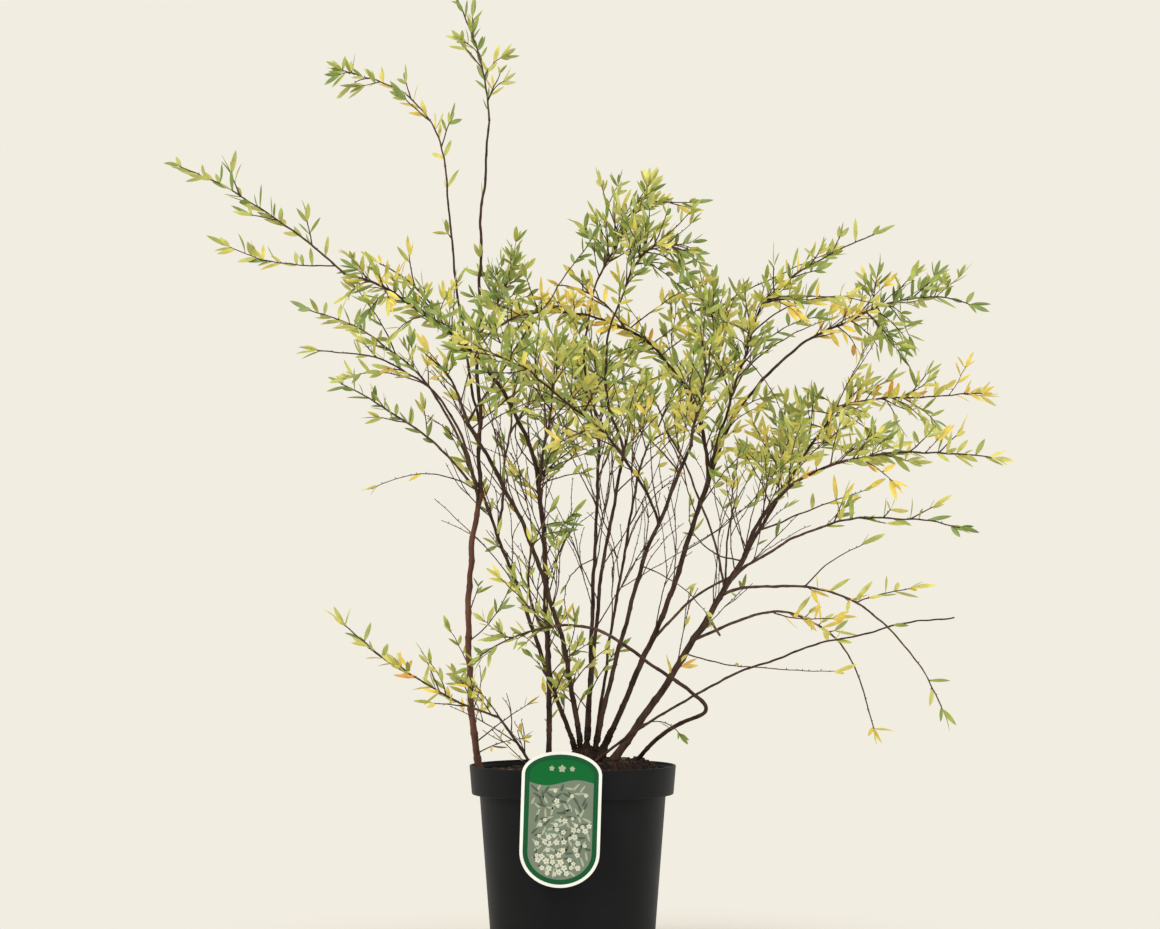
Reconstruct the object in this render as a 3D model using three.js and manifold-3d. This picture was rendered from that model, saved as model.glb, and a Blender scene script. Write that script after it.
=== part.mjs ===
// A spirea shrub with many arching stems, growing in a round nursery pot of about five litres.
// Millimetres, +Z up. The origin is the centre of the pot's flat underside, and -Y is the label's side.
import * as THREE from "three";
import { mergeVertices } from "three/addons/utils/BufferGeometryUtils.js";
import Module from "manifold-3d";

const wasm = await Module();
wasm.setup();

// ---------- driving sizes ----------
const GAP = 0.3; // clearance between neighbouring pieces
const SAME_POINT = 1e-4; // corners closer than this are one
const CURVE_ERROR = 1.2; // how far the straight stretches of a limb may lie off its curve
const LIMB_STEPS = { fewest: 3, most: 8 }; // straight stretches of a limb
const ROOM_STEPS = 12; // the stretches that stand for a limb where room is looked for
const FLATS_MARGIN = 1.25; // a five-sided limb's flats lie nearer its middle line than its corners do

const POT = {
  height: 205,
  rimRadius: 113.5, // outside, at the top edge
  bandRadius: 110.8, // outside, at the lower edge of the band round the rim
  bandHeight: 32,
  shoulderRadius: 102.3, // outside, just under the band
  footRadius: 89,
  wall: 1.6,
  lip: 2.6, // the rolled top edge
  floor: 3.4,
  grooveInner: 52, // ring groove in the underside, where the drain holes are
  grooveOuter: 70,
  grooveDepth: 1.4,
  drainHoles: 8,
  drainRadius: 6,
  drainSides: 8,
  rounding: 0.8, // of the edges of the band and the foot
  segments: 32,
};

const SOIL = {
  level: 198, // flat round the edge
  moundLevel: 210, // flat top of the low mound that the stems grow from
  moundCentre: [22, 0],
  moundTopRadius: 59,
  moundFootRadius: 75,
  moundSunk: 4, // how far the mound's own solid reaches under the level
  segments: 20,
};

const LABEL = {
  width: 86,
  straight: 83, // height of the straight sides
  topRise: 25, // height of the bowed top
  bottomDrop: 38, // height of the round bottom
  thickness: 0.8,
  centre: [-12.6, -117, 160], // middle of the straight part
  turn: -1.8, // degrees, seen from the front
  hookWidth: 18,
  hookDrop: 5.5,
  arcSteps: 14,
};

// The woody knot in the middle, with a flared stub for each stem that leaves it.
const CROWN = { centre: [17, 1, 213], radii: [20, 17, 13], footRise: 4, stubTop: 243, stubFlare: 0.5 };
const STEM_FLARE = 0.35; // how much wider a stem is where it leaves the soil
const FLARE_FALL = 12; // how fast a flare dies away along its limb
const STUB_STEP = 0.002; // share of a stem's length by which the height of its stub is found

const STEM = { thickest: 1.7, end: 1.1 }; // radii of the stem of a mass
const TWIG = {
  base: 0.8,
  end: 0.65,
  bare: 0.25, // share without leaves
  lean: [36, 48], // degrees from the stem
  turn: 0.6, // how much a twig's turn round the stem may be off, in radians
  lift: 0.35,
  reach: [0.85, 1.15], // of the mass's spread
  reachAtFoot: 1.15, // twigs are longer at the stem's foot
  reachLost: 0.5, // and lose this share towards its tip
  first: 0.5, // where the first one stands, and the room past the last one, in spacings
  past: 0.1,
  clearFrom: 0.15, // share of a twig that may lie within its stem's room
  tries: 5,
  nextTry: 1.7, // golden angles
};
const SHORTEST_ARM = 0.3; // share of its curve that an arm keeps, however short it is
const LEAF = {
  length: 46,
  width: 16,
  thickness: 1,
  widestAt: 0.42, // share of the length
  sink: 0.2, // of the root, past the middle of the twig
  crowding: 0.8, // share of the full clearance that leaves of one mass keep to each other
  spacing: 18, // along a twig
  first: 0.3, // where the first one stands, and the room past the last one, in spacings
  past: 0.05,
  lean: 42, // degrees from the twig
  lift: 0.3,
  lengths: [0.8, 1.15], // shares of the full length and width that leaves vary between
  widths: [0.85, 1.15],
  clear: [0.25, 0.95], // the stretch of a leaf that keeps clear of everything
  tries: 6,
  nextTry: 1.1, // radians
};
const TIP_LEAF = { lean: 10, lift: 0.05, sink: 3, share: 0.8 }; // the leaf that ends a twig
const GOLDEN_ANGLE = THREE.MathUtils.degToRad(137.5);
const WHOLE_TURN = 2 * Math.PI;
const UP = new THREE.Vector3(0, 0, 1);

// Every limb runs from its foot to its tip. Its heading is the compass angle of its tip from its foot, from
// +X towards +Y. Its lean is the angle from upright, and its length the straight distance. Half way, it
// rises by its arch above that straight line and swings to the left by its sway. A limb that grows on
// another one starts at that share of its length, and one on the soil or the crown at that [x, y].
// name, grows on, share or foot, heading, lean, length, arch, sway, radius at the foot, radius at the tip
const LIMBS = [
  ["west_stem", "soil", [-103, 4], 81, 1, 305, 2, 12, 3.8, 2.9],
  ["south_stem", "soil", [-26, -22], 189, 2, 310, 3, 4, 3.1, 2.5],
  ["leaning_stem", "soil", [44, -16], 0, 33, 265, -3, -2, 4.3, 3],
  ["hooked_stem", "soil", [72, 10], 325, 61, 115, 8, -5, 2.4, 2.1],
  ["long_bare_stem", "soil", [24, -32], 348, 68, 425, 30, -11, 1.6, 0.8],
  ["low_west_stem", "soil", [-40, -52], 191, 34, 75, 2, 0, 1.7, 1.3],
  ["crossing_stem", "crown", [6, 4], 163, 21, 305, 1, 4, 2.6, 1.7],
  ["diagonal_stem", "crown", [9, -12], 208, 21, 390, 21, 13, 2.9, 1.8],
  ["middle_stem", "crown", [14, 13], 72, 8, 370, 3, -2, 2.5, 1.6],
  ["inner_stem", "crown", [17, -3], 303, 12, 340, 14, -1, 2.4, 1.6],
  ["slender_stem", "crown", [24, 12], 67, 23, 345, 11, 0, 1.9, 1.3],
  ["east_inner_stem", "crown", [24, -9], 321, 21, 365, 15, 3, 2.7, 1.8],
  ["east_stem", "crown", [30, 2], 13, 22, 325, -6, -2, 3.3, 2.5],
  ["hooked_bough", "hooked_stem", 1, 192, 54, 155, 1, 7, 2.1, 1.7],
  ["tall_leader", "west_stem", 1, 298, 3, 410, 5, -4, 2.4, 1.1],
  ["second_leader", "tall_leader", 0.17, 132, 11, 300, -7, -1, 1.6, 1],
  ["arching_west_bough", "south_stem", 1, 203, 46, 315, 39, 15, 2.3, 1.2],
  ["west_crossing_bough", "east_inner_stem", 0.74, 210, 44, 210, 14, 13, 1.6, 1.1],
  ["great_arch", "east_stem", 1, 200, 46, 267, 63, 6, 2.2, 1.1],
  ["east_high_bough", "east_stem", 0.96, 27, 45, 285, 35, 7, 2.1, 1.2],
  ["east_inner_bough", "east_stem", 0.9, 313, 24, 245, 6, 1, 1.8, 1.1],
  ["east_low_bough", "leaning_stem", 1, 329, 48, 155, 20, -7, 2.4, 1.4],
  ["east_middle_bough", "leaning_stem", 0.95, 32, 37, 225, 4, 2, 2, 1.2],
  ["top_back_bough", "middle_stem", 1, 52, 7, 200, 0, 30, 1.5, 1],
  ["top_front_bough", "inner_stem", 1, 45, 7, 215, 22, 18, 1.5, 1],
].map(([name, on, at, heading, lean, length, arch, sway, base, end]) => ({
  ...{ name, on, at, heading, lean, length, arch, sway, base, end },
}));

// A mass of foliage grows round one stem of its own, laid out as the limbs are. Its spread is how far
// leaves reach from that stem, and the share of the stem below its first leaf is bare.
// name, grows on, share, heading, lean, length, arch, sway, spread, twigs, bare
const MASSES = [
  ["tall_leader_spray", "tall_leader", 1, 210, 20, 165, 7, 6, 42, 3, 0.02],
  ["second_leader_spray", "second_leader", 1, 162, 47, 155, 27, -11, 45, 3, 0.02],
  ["far_west_spray", "arching_west_bough", 1, 191, 58, 225, 9, 6, 42, 3, 0.1],
  ["arching_west_leaves", "arching_west_bough", 0.55, 164, 49, 140, 7, -10, 52, 4, 0.05],
  ["west_upper_spray", "west_stem", 0.965, 150, 47, 325, 49, -6, 44, 3, 0.45],
  ["west_middle_spray", "west_stem", 0.93, 196, 48, 265, 62, 12, 42, 3, 0.45],
  ["west_low_spray", "crossing_stem", 1, 164, 54, 225, 14, -5, 42, 3, 0.35],
  ["north_west_clump", "tall_leader", 0.42, 348, 25, 110, -3, 1, 52, 4, 0.25],
  ["diagonal_spray", "diagonal_stem", 1, 241, 52, 125, 13, 2, 52, 4, 0.15],
  ["great_arch_spray", "great_arch", 1, 224, 116, 110, 14, 1, 56, 5, 0.02],
  ["great_arch_leaves", "great_arch", 0.7, 167, 62, 105, 14, 0, 45, 4, 0.05],
  ["top_back_clump", "top_back_bough", 1, 23, 67, 110, 32, -1, 62, 5, 0.02],
  ["top_front_clump", "top_front_bough", 1, 332, 104, 60, 22, -2, 58, 5, 0.02],
  ["middle_front_spray", "south_stem", 0.96, 279, 42, 204, -2, 0, 75, 6, 0.3],
  ["middle_west_spray", "west_crossing_bough", 1, 235, 75, 130, 5, 2, 68, 5, 0.02],
  ["middle_back_spray", "slender_stem", 1, 72, 58, 225, 3, 2, 82, 6, 0.1],
  ["north_spray", "middle_stem", 0.9, 100, 60, 287, -13, -13, 82, 6, 0.3],
  ["east_inner_spray", "east_inner_stem", 1, 280, 50, 170, 4, 1, 72, 6, 0.05],
  ["north_east_spray", "east_inner_bough", 1, 339, 60, 160, 8, -4, 42, 4, 0.02],
  ["east_crown_clump", "east_inner_bough", 0.55, 126, 12, 140, 5, 16, 66, 6, 0.15],
  ["far_east_spray", "east_high_bough", 1, 14, 87, 145, 19, 3, 50, 4, 0.02],
  ["east_middle_spray", "east_middle_bough", 1, 10, 86, 180, 5, 2, 46, 4, 0.02],
  ["east_low_spray", "east_low_bough", 1, 348, 90, 180, 11, -2, 42, 4, 0.02],
  ["east_drooping_spray", "leaning_stem", 0.9, 325, 80, 305, 36, -7, 46, 4, 0.42],
  ["weeping_front_shoot", "leaning_stem", 0.82, 325, 115, 313, 66, 2, 30, 0, 0.8],
  ["weeping_back_shoot", "leaning_stem", 0.6, 32, 116, 275, 88, 2, 30, 0, 0.78],
  ["east_back_spray", "east_middle_bough", 0.45, 82, 74, 260, 11, 9, 80, 6, 0.15],
  ["west_back_spray", "crossing_stem", 0.85, 83, 43, 312, -1, 2, 72, 5, 0.4],
  ["south_clump", "south_stem", 0.45, 286, 16, 150, -1, -29, 36, 3, 0.2],
  ["low_west_spray", "low_west_stem", 1, 199, 59, 215, -12, 3, 44, 4, 0.1],
  ["low_inner_spray", "hooked_bough", 1, 191, 105, 150, 17, -6, 44, 3, 0.3],
].map(([name, on, at, heading, lean, length, arch, sway, spread, twigs, bare]) => ({
  ...{ name, on, at, heading, lean, length, arch, sway, spread, twigs, bare },
}));

// The masses that have turned most in autumn.
const YELLOWING = [
  "arching_west_leaves",
  "great_arch_leaves",
  "east_low_spray",
  "east_drooping_spray",
  "weeping_front_shoot",
  "weeping_back_shoot",
  "low_west_spray",
  "west_middle_spray",
];

// Some masses have a second arm on their stem: mass, share, heading, lean, length, arch, sway.
const SECOND_ARMS = [
  ["far_west_spray", 0.06, 172, 79, 130, -9, -4],
  ["north_east_spray", 0.04, 5, 92, 129, 7, 0],
  ["far_east_spray", 0.06, 320, 131, 75, -1, -5],
  ["weeping_front_shoot", 0.5, 9, 77, 75, 2, 1],
  ["weeping_back_shoot", 0.3, 340, 93, 85, -5, -13],
  ["low_inner_spray", 0.35, 212, 51, 95, 1, 1],
].map(([mass, at, heading, lean, length, arch, sway]) => ({ mass, at, heading, lean, length, arch, sway }));
const SECOND_ARM_BARE = 0.15;
const FIRST_SEED = 1000;

const LOOKS = {
  pot: { color: 0x24272a, roughness: 0.5 },
  soil: { color: 0x33231a, roughness: 0.95 },
  label: { color: 0x2f8a4c, roughness: 0.4 },
  bark: { color: 0x4a3228, roughness: 0.8 },
  green_leaves: { color: 0x7c9a3a, roughness: 0.6 },
  yellow_leaves: { color: 0xb9ac3a, roughness: 0.6 },
};

// ---------- solids ----------
function solidOf(geometry) {
  const bare = geometry.index ? geometry.toNonIndexed() : geometry.clone();
  bare.deleteAttribute("normal");
  bare.deleteAttribute("uv");
  const merged = mergeVertices(bare, SAME_POINT);
  return new wasm.Manifold(
    new wasm.Mesh({
      numProp: 3,
      vertProperties: new Float32Array(merged.attributes.position.array),
      triVerts: new Uint32Array(merged.index.array),
    }),
  );
}

// The largest body of a solid, so that a scrap left by a cut is dropped.
function mainBody(solid) {
  return solid.decompose().reduce((largest, body) => (body.volume() > largest.volume() ? body : largest));
}

function meshOf(name, solid, look) {
  const { vertProperties, triVerts, numProp, numVert } = mainBody(solid).getMesh();
  const points = new Float32Array(numVert * 3);
  for (let i = 0; i < numVert; i++) {
    const point = vertProperties.subarray(i * numProp, i * numProp + 3);
    points.set(point, i * 3);
  }
  const geometry = new THREE.BufferGeometry();
  geometry.setAttribute("position", new THREE.BufferAttribute(points, 3));
  geometry.setIndex(new THREE.BufferAttribute(new Uint32Array(triVerts), 1));
  geometry.computeVertexNormals();
  const mesh = new THREE.Mesh(geometry, new THREE.MeshStandardMaterial({ metalness: 0, ...look }));
  mesh.name = name;
  return mesh;
}

// Numbers from 0 to 1 that are always the same for the same seed.
function seededRandom(seed) {
  let state = seed >>> 0;
  return () => {
    state = (state + 0x6d2b79f5) >>> 0;
    let mixed = Math.imul(state ^ (state >>> 15), state | 1);
    mixed ^= mixed + Math.imul(mixed ^ (mixed >>> 7), mixed | 61);
    return ((mixed ^ (mixed >>> 14)) >>> 0) / 4294967296;
  };
}

function between([low, high], share) {
  return low + (high - low) * share;
}

// ---------- curves ----------
// The arching curve of a limb that starts at "foot".
function limbCurve(foot, { heading, lean, length, arch, sway }) {
  const h = THREE.MathUtils.degToRad(heading);
  const l = THREE.MathUtils.degToRad(lean);
  const along = new THREE.Vector3(Math.sin(l) * Math.cos(h), Math.sin(l) * Math.sin(h), Math.cos(l));
  const left = new THREE.Vector3(-Math.sin(h), Math.cos(h), 0);
  const above = along.clone().cross(left);
  const tip = foot.clone().addScaledVector(along, length);
  // A quadratic curve passes half as far from its chord as its control point lies.
  const pull = foot.clone().lerp(tip, 0.5).addScaledVector(above, 2 * arch).addScaledVector(left, 2 * sway);
  return new THREE.QuadraticBezierCurve3(foot, pull, tip);
}

// The number of straight stretches that follow a limb's curve closely enough.
function stepsFor({ arch, sway }) {
  const steps = Math.ceil(Math.sqrt(Math.hypot(arch, sway) / CURVE_ERROR));
  return THREE.MathUtils.clamp(steps, LIMB_STEPS.fewest, LIMB_STEPS.most);
}

// Gives the point at t on the straight stretches that follow a curve between from and to.
function stretchesOf(curve, steps, from = 0, to = 1) {
  return (t) => {
    const place = THREE.MathUtils.clamp(((t - from) / (to - from)) * steps, 0, steps);
    const step = Math.min(Math.floor(place), steps - 1);
    const at = (i) => curve.getPoint(from + ((to - from) * i) / steps);
    return at(step).lerp(at(step + 1), place - step);
  };
}

// Gives the frame of a curve at t: its direction, and two directions square to it and to each other.
function framesOf(curve) {
  const chord = curve.v2.clone().sub(curve.v0);
  const edge = curve.v1.clone().sub(curve.v0).cross(chord);
  const isStraight = edge.length() < 1;
  if (isStraight) edge.set(1, 0, 0).cross(chord);
  edge.normalize();
  return (t) => {
    const along = curve.getTangent(THREE.MathUtils.clamp(t, 0, 1));
    return { along, edge, side: along.clone().cross(edge) };
  };
}

// A closed, tapering tube along the stretch from..to of a curve. A "cut" makes its foot flat at that height.
function taper(curve, base, end, { from = 0, to = 1, sides = 5, steps = 5, flare = 0, cut = null } = {}) {
  const frameAt = framesOf(curve);
  const geometry = new THREE.CylinderGeometry(1, 1, 1, sides, steps);
  const position = geometry.attributes.position;
  for (let i = 0; i < position.count; i++) {
    const share = position.getY(i) + 0.5;
    const t = from + (to - from) * share;
    const radius = (base + (end - base) * t) * (1 + flare * Math.exp(-FLARE_FALL * share));
    const { along, side, edge } = frameAt(t);
    const point = curve
      .getPoint(t)
      .addScaledVector(side, position.getX(i) * radius)
      .addScaledVector(edge, position.getZ(i) * radius);
    const isFoot = share < 1e-6;
    if (cut !== null && isFoot) point.addScaledVector(along, (cut - point.z) / along.z);
    position.setXYZ(i, ...point);
  }
  return solidOf(geometry);
}

// ---------- limbs ----------
const limbs = new Map(); // name -> the limb's row with its curve and where on it the limb starts
const rods = []; // straight stretches {a, b, r, owner, leaf} of what has been placed

function takePath(pointAt, base, end, owner, from = 0, to = 1) {
  const share = (i) => from + ((to - from) * i) / ROOM_STEPS;
  for (let i = 0; i < ROOM_STEPS; i++)
    rods.push({ a: pointAt(share(i)), b: pointAt(share(i + 1)), r: base + (end - base) * share(i), owner });
}

function soilHeightAt(x, y) {
  const [mx, my] = SOIL.moundCentre;
  return Math.hypot(x - mx, y - my) < SOIL.moundTopRadius ? SOIL.moundLevel : SOIL.level;
}

function footOf({ on, at }) {
  if (on === "soil") return new THREE.Vector3(...at, soilHeightAt(...at) + GAP);
  if (on === "crown") return new THREE.Vector3(...at, SOIL.moundLevel + CROWN.footRise);
  return limbs.get(on).pointAt(at);
}

for (const row of LIMBS) {
  const curve = limbCurve(footOf(row), row);
  let from = 0;
  if (row.on === "crown") while (curve.getPoint(from).z < CROWN.stubTop) from += STUB_STEP;
  const steps = stepsFor(row);
  const pointAt = stretchesOf(curve, steps, from);
  limbs.set(row.name, { ...row, curve, from, steps, pointAt });
  takePath(pointAt, row.base, row.end, row.name, from);
}

function limbSolid(limb, earlierClearances) {
  const { on, curve, base, end, steps } = limb;
  if (on === "soil") return taper(curve, base, end, { steps, flare: STEM_FLARE, cut: curve.v0.z });
  if (on === "crown") return taper(curve, base, end, { steps, from: limb.from + GAP / curve.getLength() });
  const whole = taper(curve, base, end, { steps });
  return earlierClearances.reduce((solid, clearance) => solid.subtract(clearance), whole);
}

// The room that a limb's neighbours keep out of.
function clearanceOf({ curve, base, end, steps, from }) {
  const margin = GAP * FLATS_MARGIN;
  const beyond = curve.v2.clone().addScaledVector(curve.getTangent(1), GAP);
  const longer = new THREE.QuadraticBezierCurve3(curve.v0, curve.v1, beyond);
  return taper(longer, base + margin, end + margin, { steps, from });
}

function crownSolid() {
  const knot = new THREE.IcosahedronGeometry(1, 1).scale(...CROWN.radii).translate(...CROWN.centre);
  let solid = solidOf(knot);
  for (const limb of limbs.values())
    if (limb.on === "crown") {
      const stub = { to: limb.from, steps: 2, flare: CROWN.stubFlare };
      solid = solid.add(taper(limb.curve, limb.base, limb.end, stub));
    }
  const size = 4 * Math.max(...CROWN.radii);
  const below = new THREE.BoxGeometry(size, size, size);
  below.translate(CROWN.centre[0], CROWN.centre[1], SOIL.moundLevel + GAP - size / 2);
  return solid.subtract(solidOf(below));
}

// ---------- foliage ----------
// The distance between two rods' middle lines.
function distanceBetween(p, q) {
  const u = p.b.clone().sub(p.a);
  const v = q.b.clone().sub(q.a);
  const w = p.a.clone().sub(q.a);
  const [uu, uv, vv, uw, vw] = [u.dot(u), u.dot(v), v.dot(v), u.dot(w), v.dot(w)];
  const square = uu * vv - uv * uv;
  const clamp = (x) => THREE.MathUtils.clamp(x, 0, 1);
  let s = square > 1e-9 ? clamp((uv * vw - uw * vv) / square) : 0;
  const t = clamp((uv * s + vw) / vv);
  s = clamp((uv * t - uw) / uu);
  return p.a.clone().addScaledVector(u, s).distanceTo(q.a.clone().addScaledVector(v, t));
}

// Whether a rod keeps clear of every other rod, apart from the twigs of its own mass.
function isClear(rod) {
  return rods.every((other) => {
    const isOwn = other.owner === rod.owner;
    if (isOwn && !other.leaf) return true;
    const room = (rod.r + other.r + 2 * GAP) * (isOwn ? LEAF.crowding : 1);
    return distanceBetween(rod, other) > room;
  });
}

// The direction nearest to "wanted" that is square to "way".
function squareTo(way, wanted) {
  return wanted.clone().addScaledVector(way, -wanted.dot(way)).normalize();
}

// The direction that leans out of a curve by "lean" degrees at the turn "spin", lifted towards the light.
function leaningOut({ along, side, edge }, spin, lean, lift) {
  const angle = THREE.MathUtils.degToRad(lean);
  return along
    .clone()
    .multiplyScalar(Math.cos(angle))
    .addScaledVector(side, Math.cos(spin) * Math.sin(angle))
    .addScaledVector(edge, Math.sin(spin) * Math.sin(angle))
    .addScaledVector(UP, lift)
    .normalize();
}

// A slim leaf of six faces with a keel under it, its root sunk in its twig. It is a sphere of three sides,
// which is the square root of 3 wide and 1.5 deep.
function leafSolid(root, along, face, length, width, sink) {
  const side = face.clone().cross(along);
  const geometry = new THREE.SphereGeometry(1, 3, 2);
  const position = geometry.attributes.position;
  for (let i = 0; i < position.count; i++) {
    const [x, y, z] = [position.getX(i), position.getY(i), position.getZ(i)];
    let reach = length * LEAF.widestAt;
    if (y > 0.5) reach = length;
    if (y < -0.5) reach = -sink;
    const point = root
      .clone()
      .addScaledVector(along, reach)
      .addScaledVector(side, (z * width) / Math.sqrt(3))
      .addScaledVector(face, (x * LEAF.thickness) / 1.5);
    position.setXYZ(i, ...point);
  }
  return solidOf(geometry);
}

// An arm of a mass: a stretch of stem or a twig that carries leaves and stops short of its tip leaf's tip.
function makeArm(curve, base, end, bare, { sides, steps }) {
  const length = curve.getLength();
  const stop = Math.max(1 - (TIP_LEAF.share * LEAF.length) / length, SHORTEST_ARM);
  const solid = taper(curve, base, end, { sides, steps, to: stop });
  const pointAt = stretchesOf(curve, steps, 0, stop);
  return { bare: Math.min(bare, stop), stop, length, solid, pointAt, frameAt: framesOf(curve) };
}

// The stem of a mass, with its second arm.
function mainArms(mass) {
  const foot = footOf(mass);
  const base = Math.min(limbs.get(mass.on).end, STEM.thickest);
  const steps = stepsFor(mass);
  const stem = makeArm(limbCurve(foot, mass), base, STEM.end, mass.bare, { sides: 4, steps });
  const arms = [stem];
  for (const row of SECOND_ARMS.filter((arm) => arm.mass === mass.name)) {
    const curve = limbCurve(stem.pointAt(row.at), row);
    arms.push(makeArm(curve, TWIG.base, TWIG.end, SECOND_ARM_BARE, { sides: 3, steps: stepsFor(row) }));
  }
  return arms;
}

// Twigs leave the stem by the golden angle, and are shorter towards its tip.
function twigArms(mass, stem, random) {
  const arms = [];
  const spacing = (stem.stop - mass.bare) / (mass.twigs + TWIG.first + TWIG.past);
  for (let i = 0; i < mass.twigs; i++) {
    const t = mass.bare + spacing * (i + TWIG.first);
    for (let attempt = 0; attempt < TWIG.tries; attempt++) {
      const spin = (i + attempt * TWIG.nextTry) * GOLDEN_ANGLE + random() * TWIG.turn;
      const way = leaningOut(stem.frameAt(t), spin, between(TWIG.lean, random()), TWIG.lift);
      const reach = mass.spread * (TWIG.reachAtFoot - TWIG.reachLost * t) * between(TWIG.reach, random());
      const start = stem.pointAt(t);
      const end = start.clone().addScaledVector(way, reach);
      const rod = { a: start.clone().lerp(end, TWIG.clearFrom), b: end, r: TWIG.base, owner: mass.name };
      if (!isClear(rod)) continue;
      const straight = new THREE.QuadraticBezierCurve3(start, start.clone().lerp(end, 0.5), end);
      arms.push(makeArm(straight, TWIG.base, TWIG.end, TWIG.bare, { sides: 3, steps: 1 }));
      rods.push(rod);
      break;
    }
  }
  return arms;
}

// Leaves go round an arm by the golden angle. One that would touch something is turned on, then left out.
function leavesOn(arm, owner, random) {
  const leaves = [];
  const leafy = arm.stop - arm.bare;
  const count = Math.max(1, Math.round((arm.length * leafy) / LEAF.spacing));
  const spacing = leafy / (count + LEAF.first + LEAF.past);
  let turn = random() * WHOLE_TURN;
  for (let i = 0; i <= count; i++) {
    const isTip = i === count;
    const { lean, lift, sink } = isTip ? TIP_LEAF : LEAF;
    const t = arm.bare + spacing * (i + LEAF.first);
    const root = arm.pointAt(t);
    const length = LEAF.length * between(LEAF.lengths, random());
    const width = LEAF.width * between(LEAF.widths, random());
    for (let attempt = 0; attempt < LEAF.tries; attempt++) {
      turn += attempt ? LEAF.nextTry : GOLDEN_ANGLE;
      const frame = arm.frameAt(t);
      const way = leaningOut(frame, turn, lean, lift);
      const [a, b] = LEAF.clear.map((share) => root.clone().addScaledVector(way, length * share));
      const rod = { a, b, r: width / 2, owner, leaf: true };
      if (!isClear(rod)) continue;
      const face = squareTo(way, isTip ? frame.side : frame.along);
      leaves.push(leafSolid(root, way, face, length, width, sink));
      rods.push(rod);
      break;
    }
  }
  return leaves;
}

function massSolid(mass, arms, random) {
  arms.push(...twigArms(mass, arms[0], random));
  const leaves = arms.flatMap((arm) => leavesOn(arm, mass.name, random));
  return wasm.Manifold.union([...arms.map((arm) => arm.solid), ...leaves]);
}

// ---------- pot, soil and label ----------
// Turns a profile of [radius, height] points round the pot's axis.
function turned(profile) {
  const points = profile.map(([r, z]) => new THREE.Vector2(r, z));
  return solidOf(new THREE.LatheGeometry(points, POT.segments).rotateX(Math.PI / 2));
}

const bandBottom = POT.height - POT.bandHeight;
const wallRadiusAt = (z) => THREE.MathUtils.lerp(POT.footRadius, POT.shoulderRadius, z / bandBottom);

function potSolid() {
  const { height, rimRadius, bandRadius, shoulderRadius, footRadius, wall, lip, floor } = POT;
  const { grooveInner, grooveOuter, grooveDepth, rounding: round } = POT;
  let solid = turned([
    [0, 0],
    [grooveInner, 0],
    [grooveInner + round, grooveDepth],
    [grooveOuter - round, grooveDepth],
    [grooveOuter, 0],
    [footRadius - 2 * round, 0],
    [footRadius, 2 * round],
    [shoulderRadius, bandBottom],
    [bandRadius - round, bandBottom],
    [bandRadius, bandBottom + round],
    [rimRadius, height - lip / 2],
    [rimRadius - round, height],
    [rimRadius - lip, height],
    [rimRadius - lip, height - lip],
    [bandRadius - wall, bandBottom + wall],
    [shoulderRadius - wall, bandBottom + wall],
    [wallRadiusAt(floor) - wall, floor],
    [0, floor],
  ]);
  const ring = (grooveInner + grooveOuter) / 2;
  for (let i = 0; i < POT.drainHoles; i++) {
    const angle = (i / POT.drainHoles) * WHOLE_TURN;
    const drill = new THREE.CylinderGeometry(POT.drainRadius, POT.drainRadius, 6 * floor, POT.drainSides)
      .rotateX(Math.PI / 2)
      .translate(ring * Math.cos(angle), ring * Math.sin(angle), 0);
    solid = solid.subtract(solidOf(drill));
  }
  return solid;
}

// The soil fills the pot to its level and rises to a low mound with a flat top.
function soilSolid() {
  const { level, moundLevel, moundCentre, moundTopRadius, moundFootRadius, moundSunk, segments } = SOIL;
  const floor = POT.floor + GAP;
  const step = bandBottom + POT.wall + GAP;
  const body = turned([
    [0, floor],
    [wallRadiusAt(floor) - POT.wall - GAP, floor],
    [POT.shoulderRadius - POT.wall - GAP, step],
    [POT.bandRadius - POT.wall - 2 * GAP, step],
    [POT.rimRadius - POT.lip - 4 * GAP, level],
    [0, level],
  ]);
  const slope = (moundFootRadius - moundTopRadius) / (moundLevel - level);
  const rise = moundLevel - level + moundSunk;
  const mound = new THREE.CylinderGeometry(moundTopRadius, moundFootRadius + slope * moundSunk, rise, segments)
    .rotateX(Math.PI / 2)
    .translate(...moundCentre, moundLevel - rise / 2);
  return body.add(solidOf(mound));
}

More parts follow.
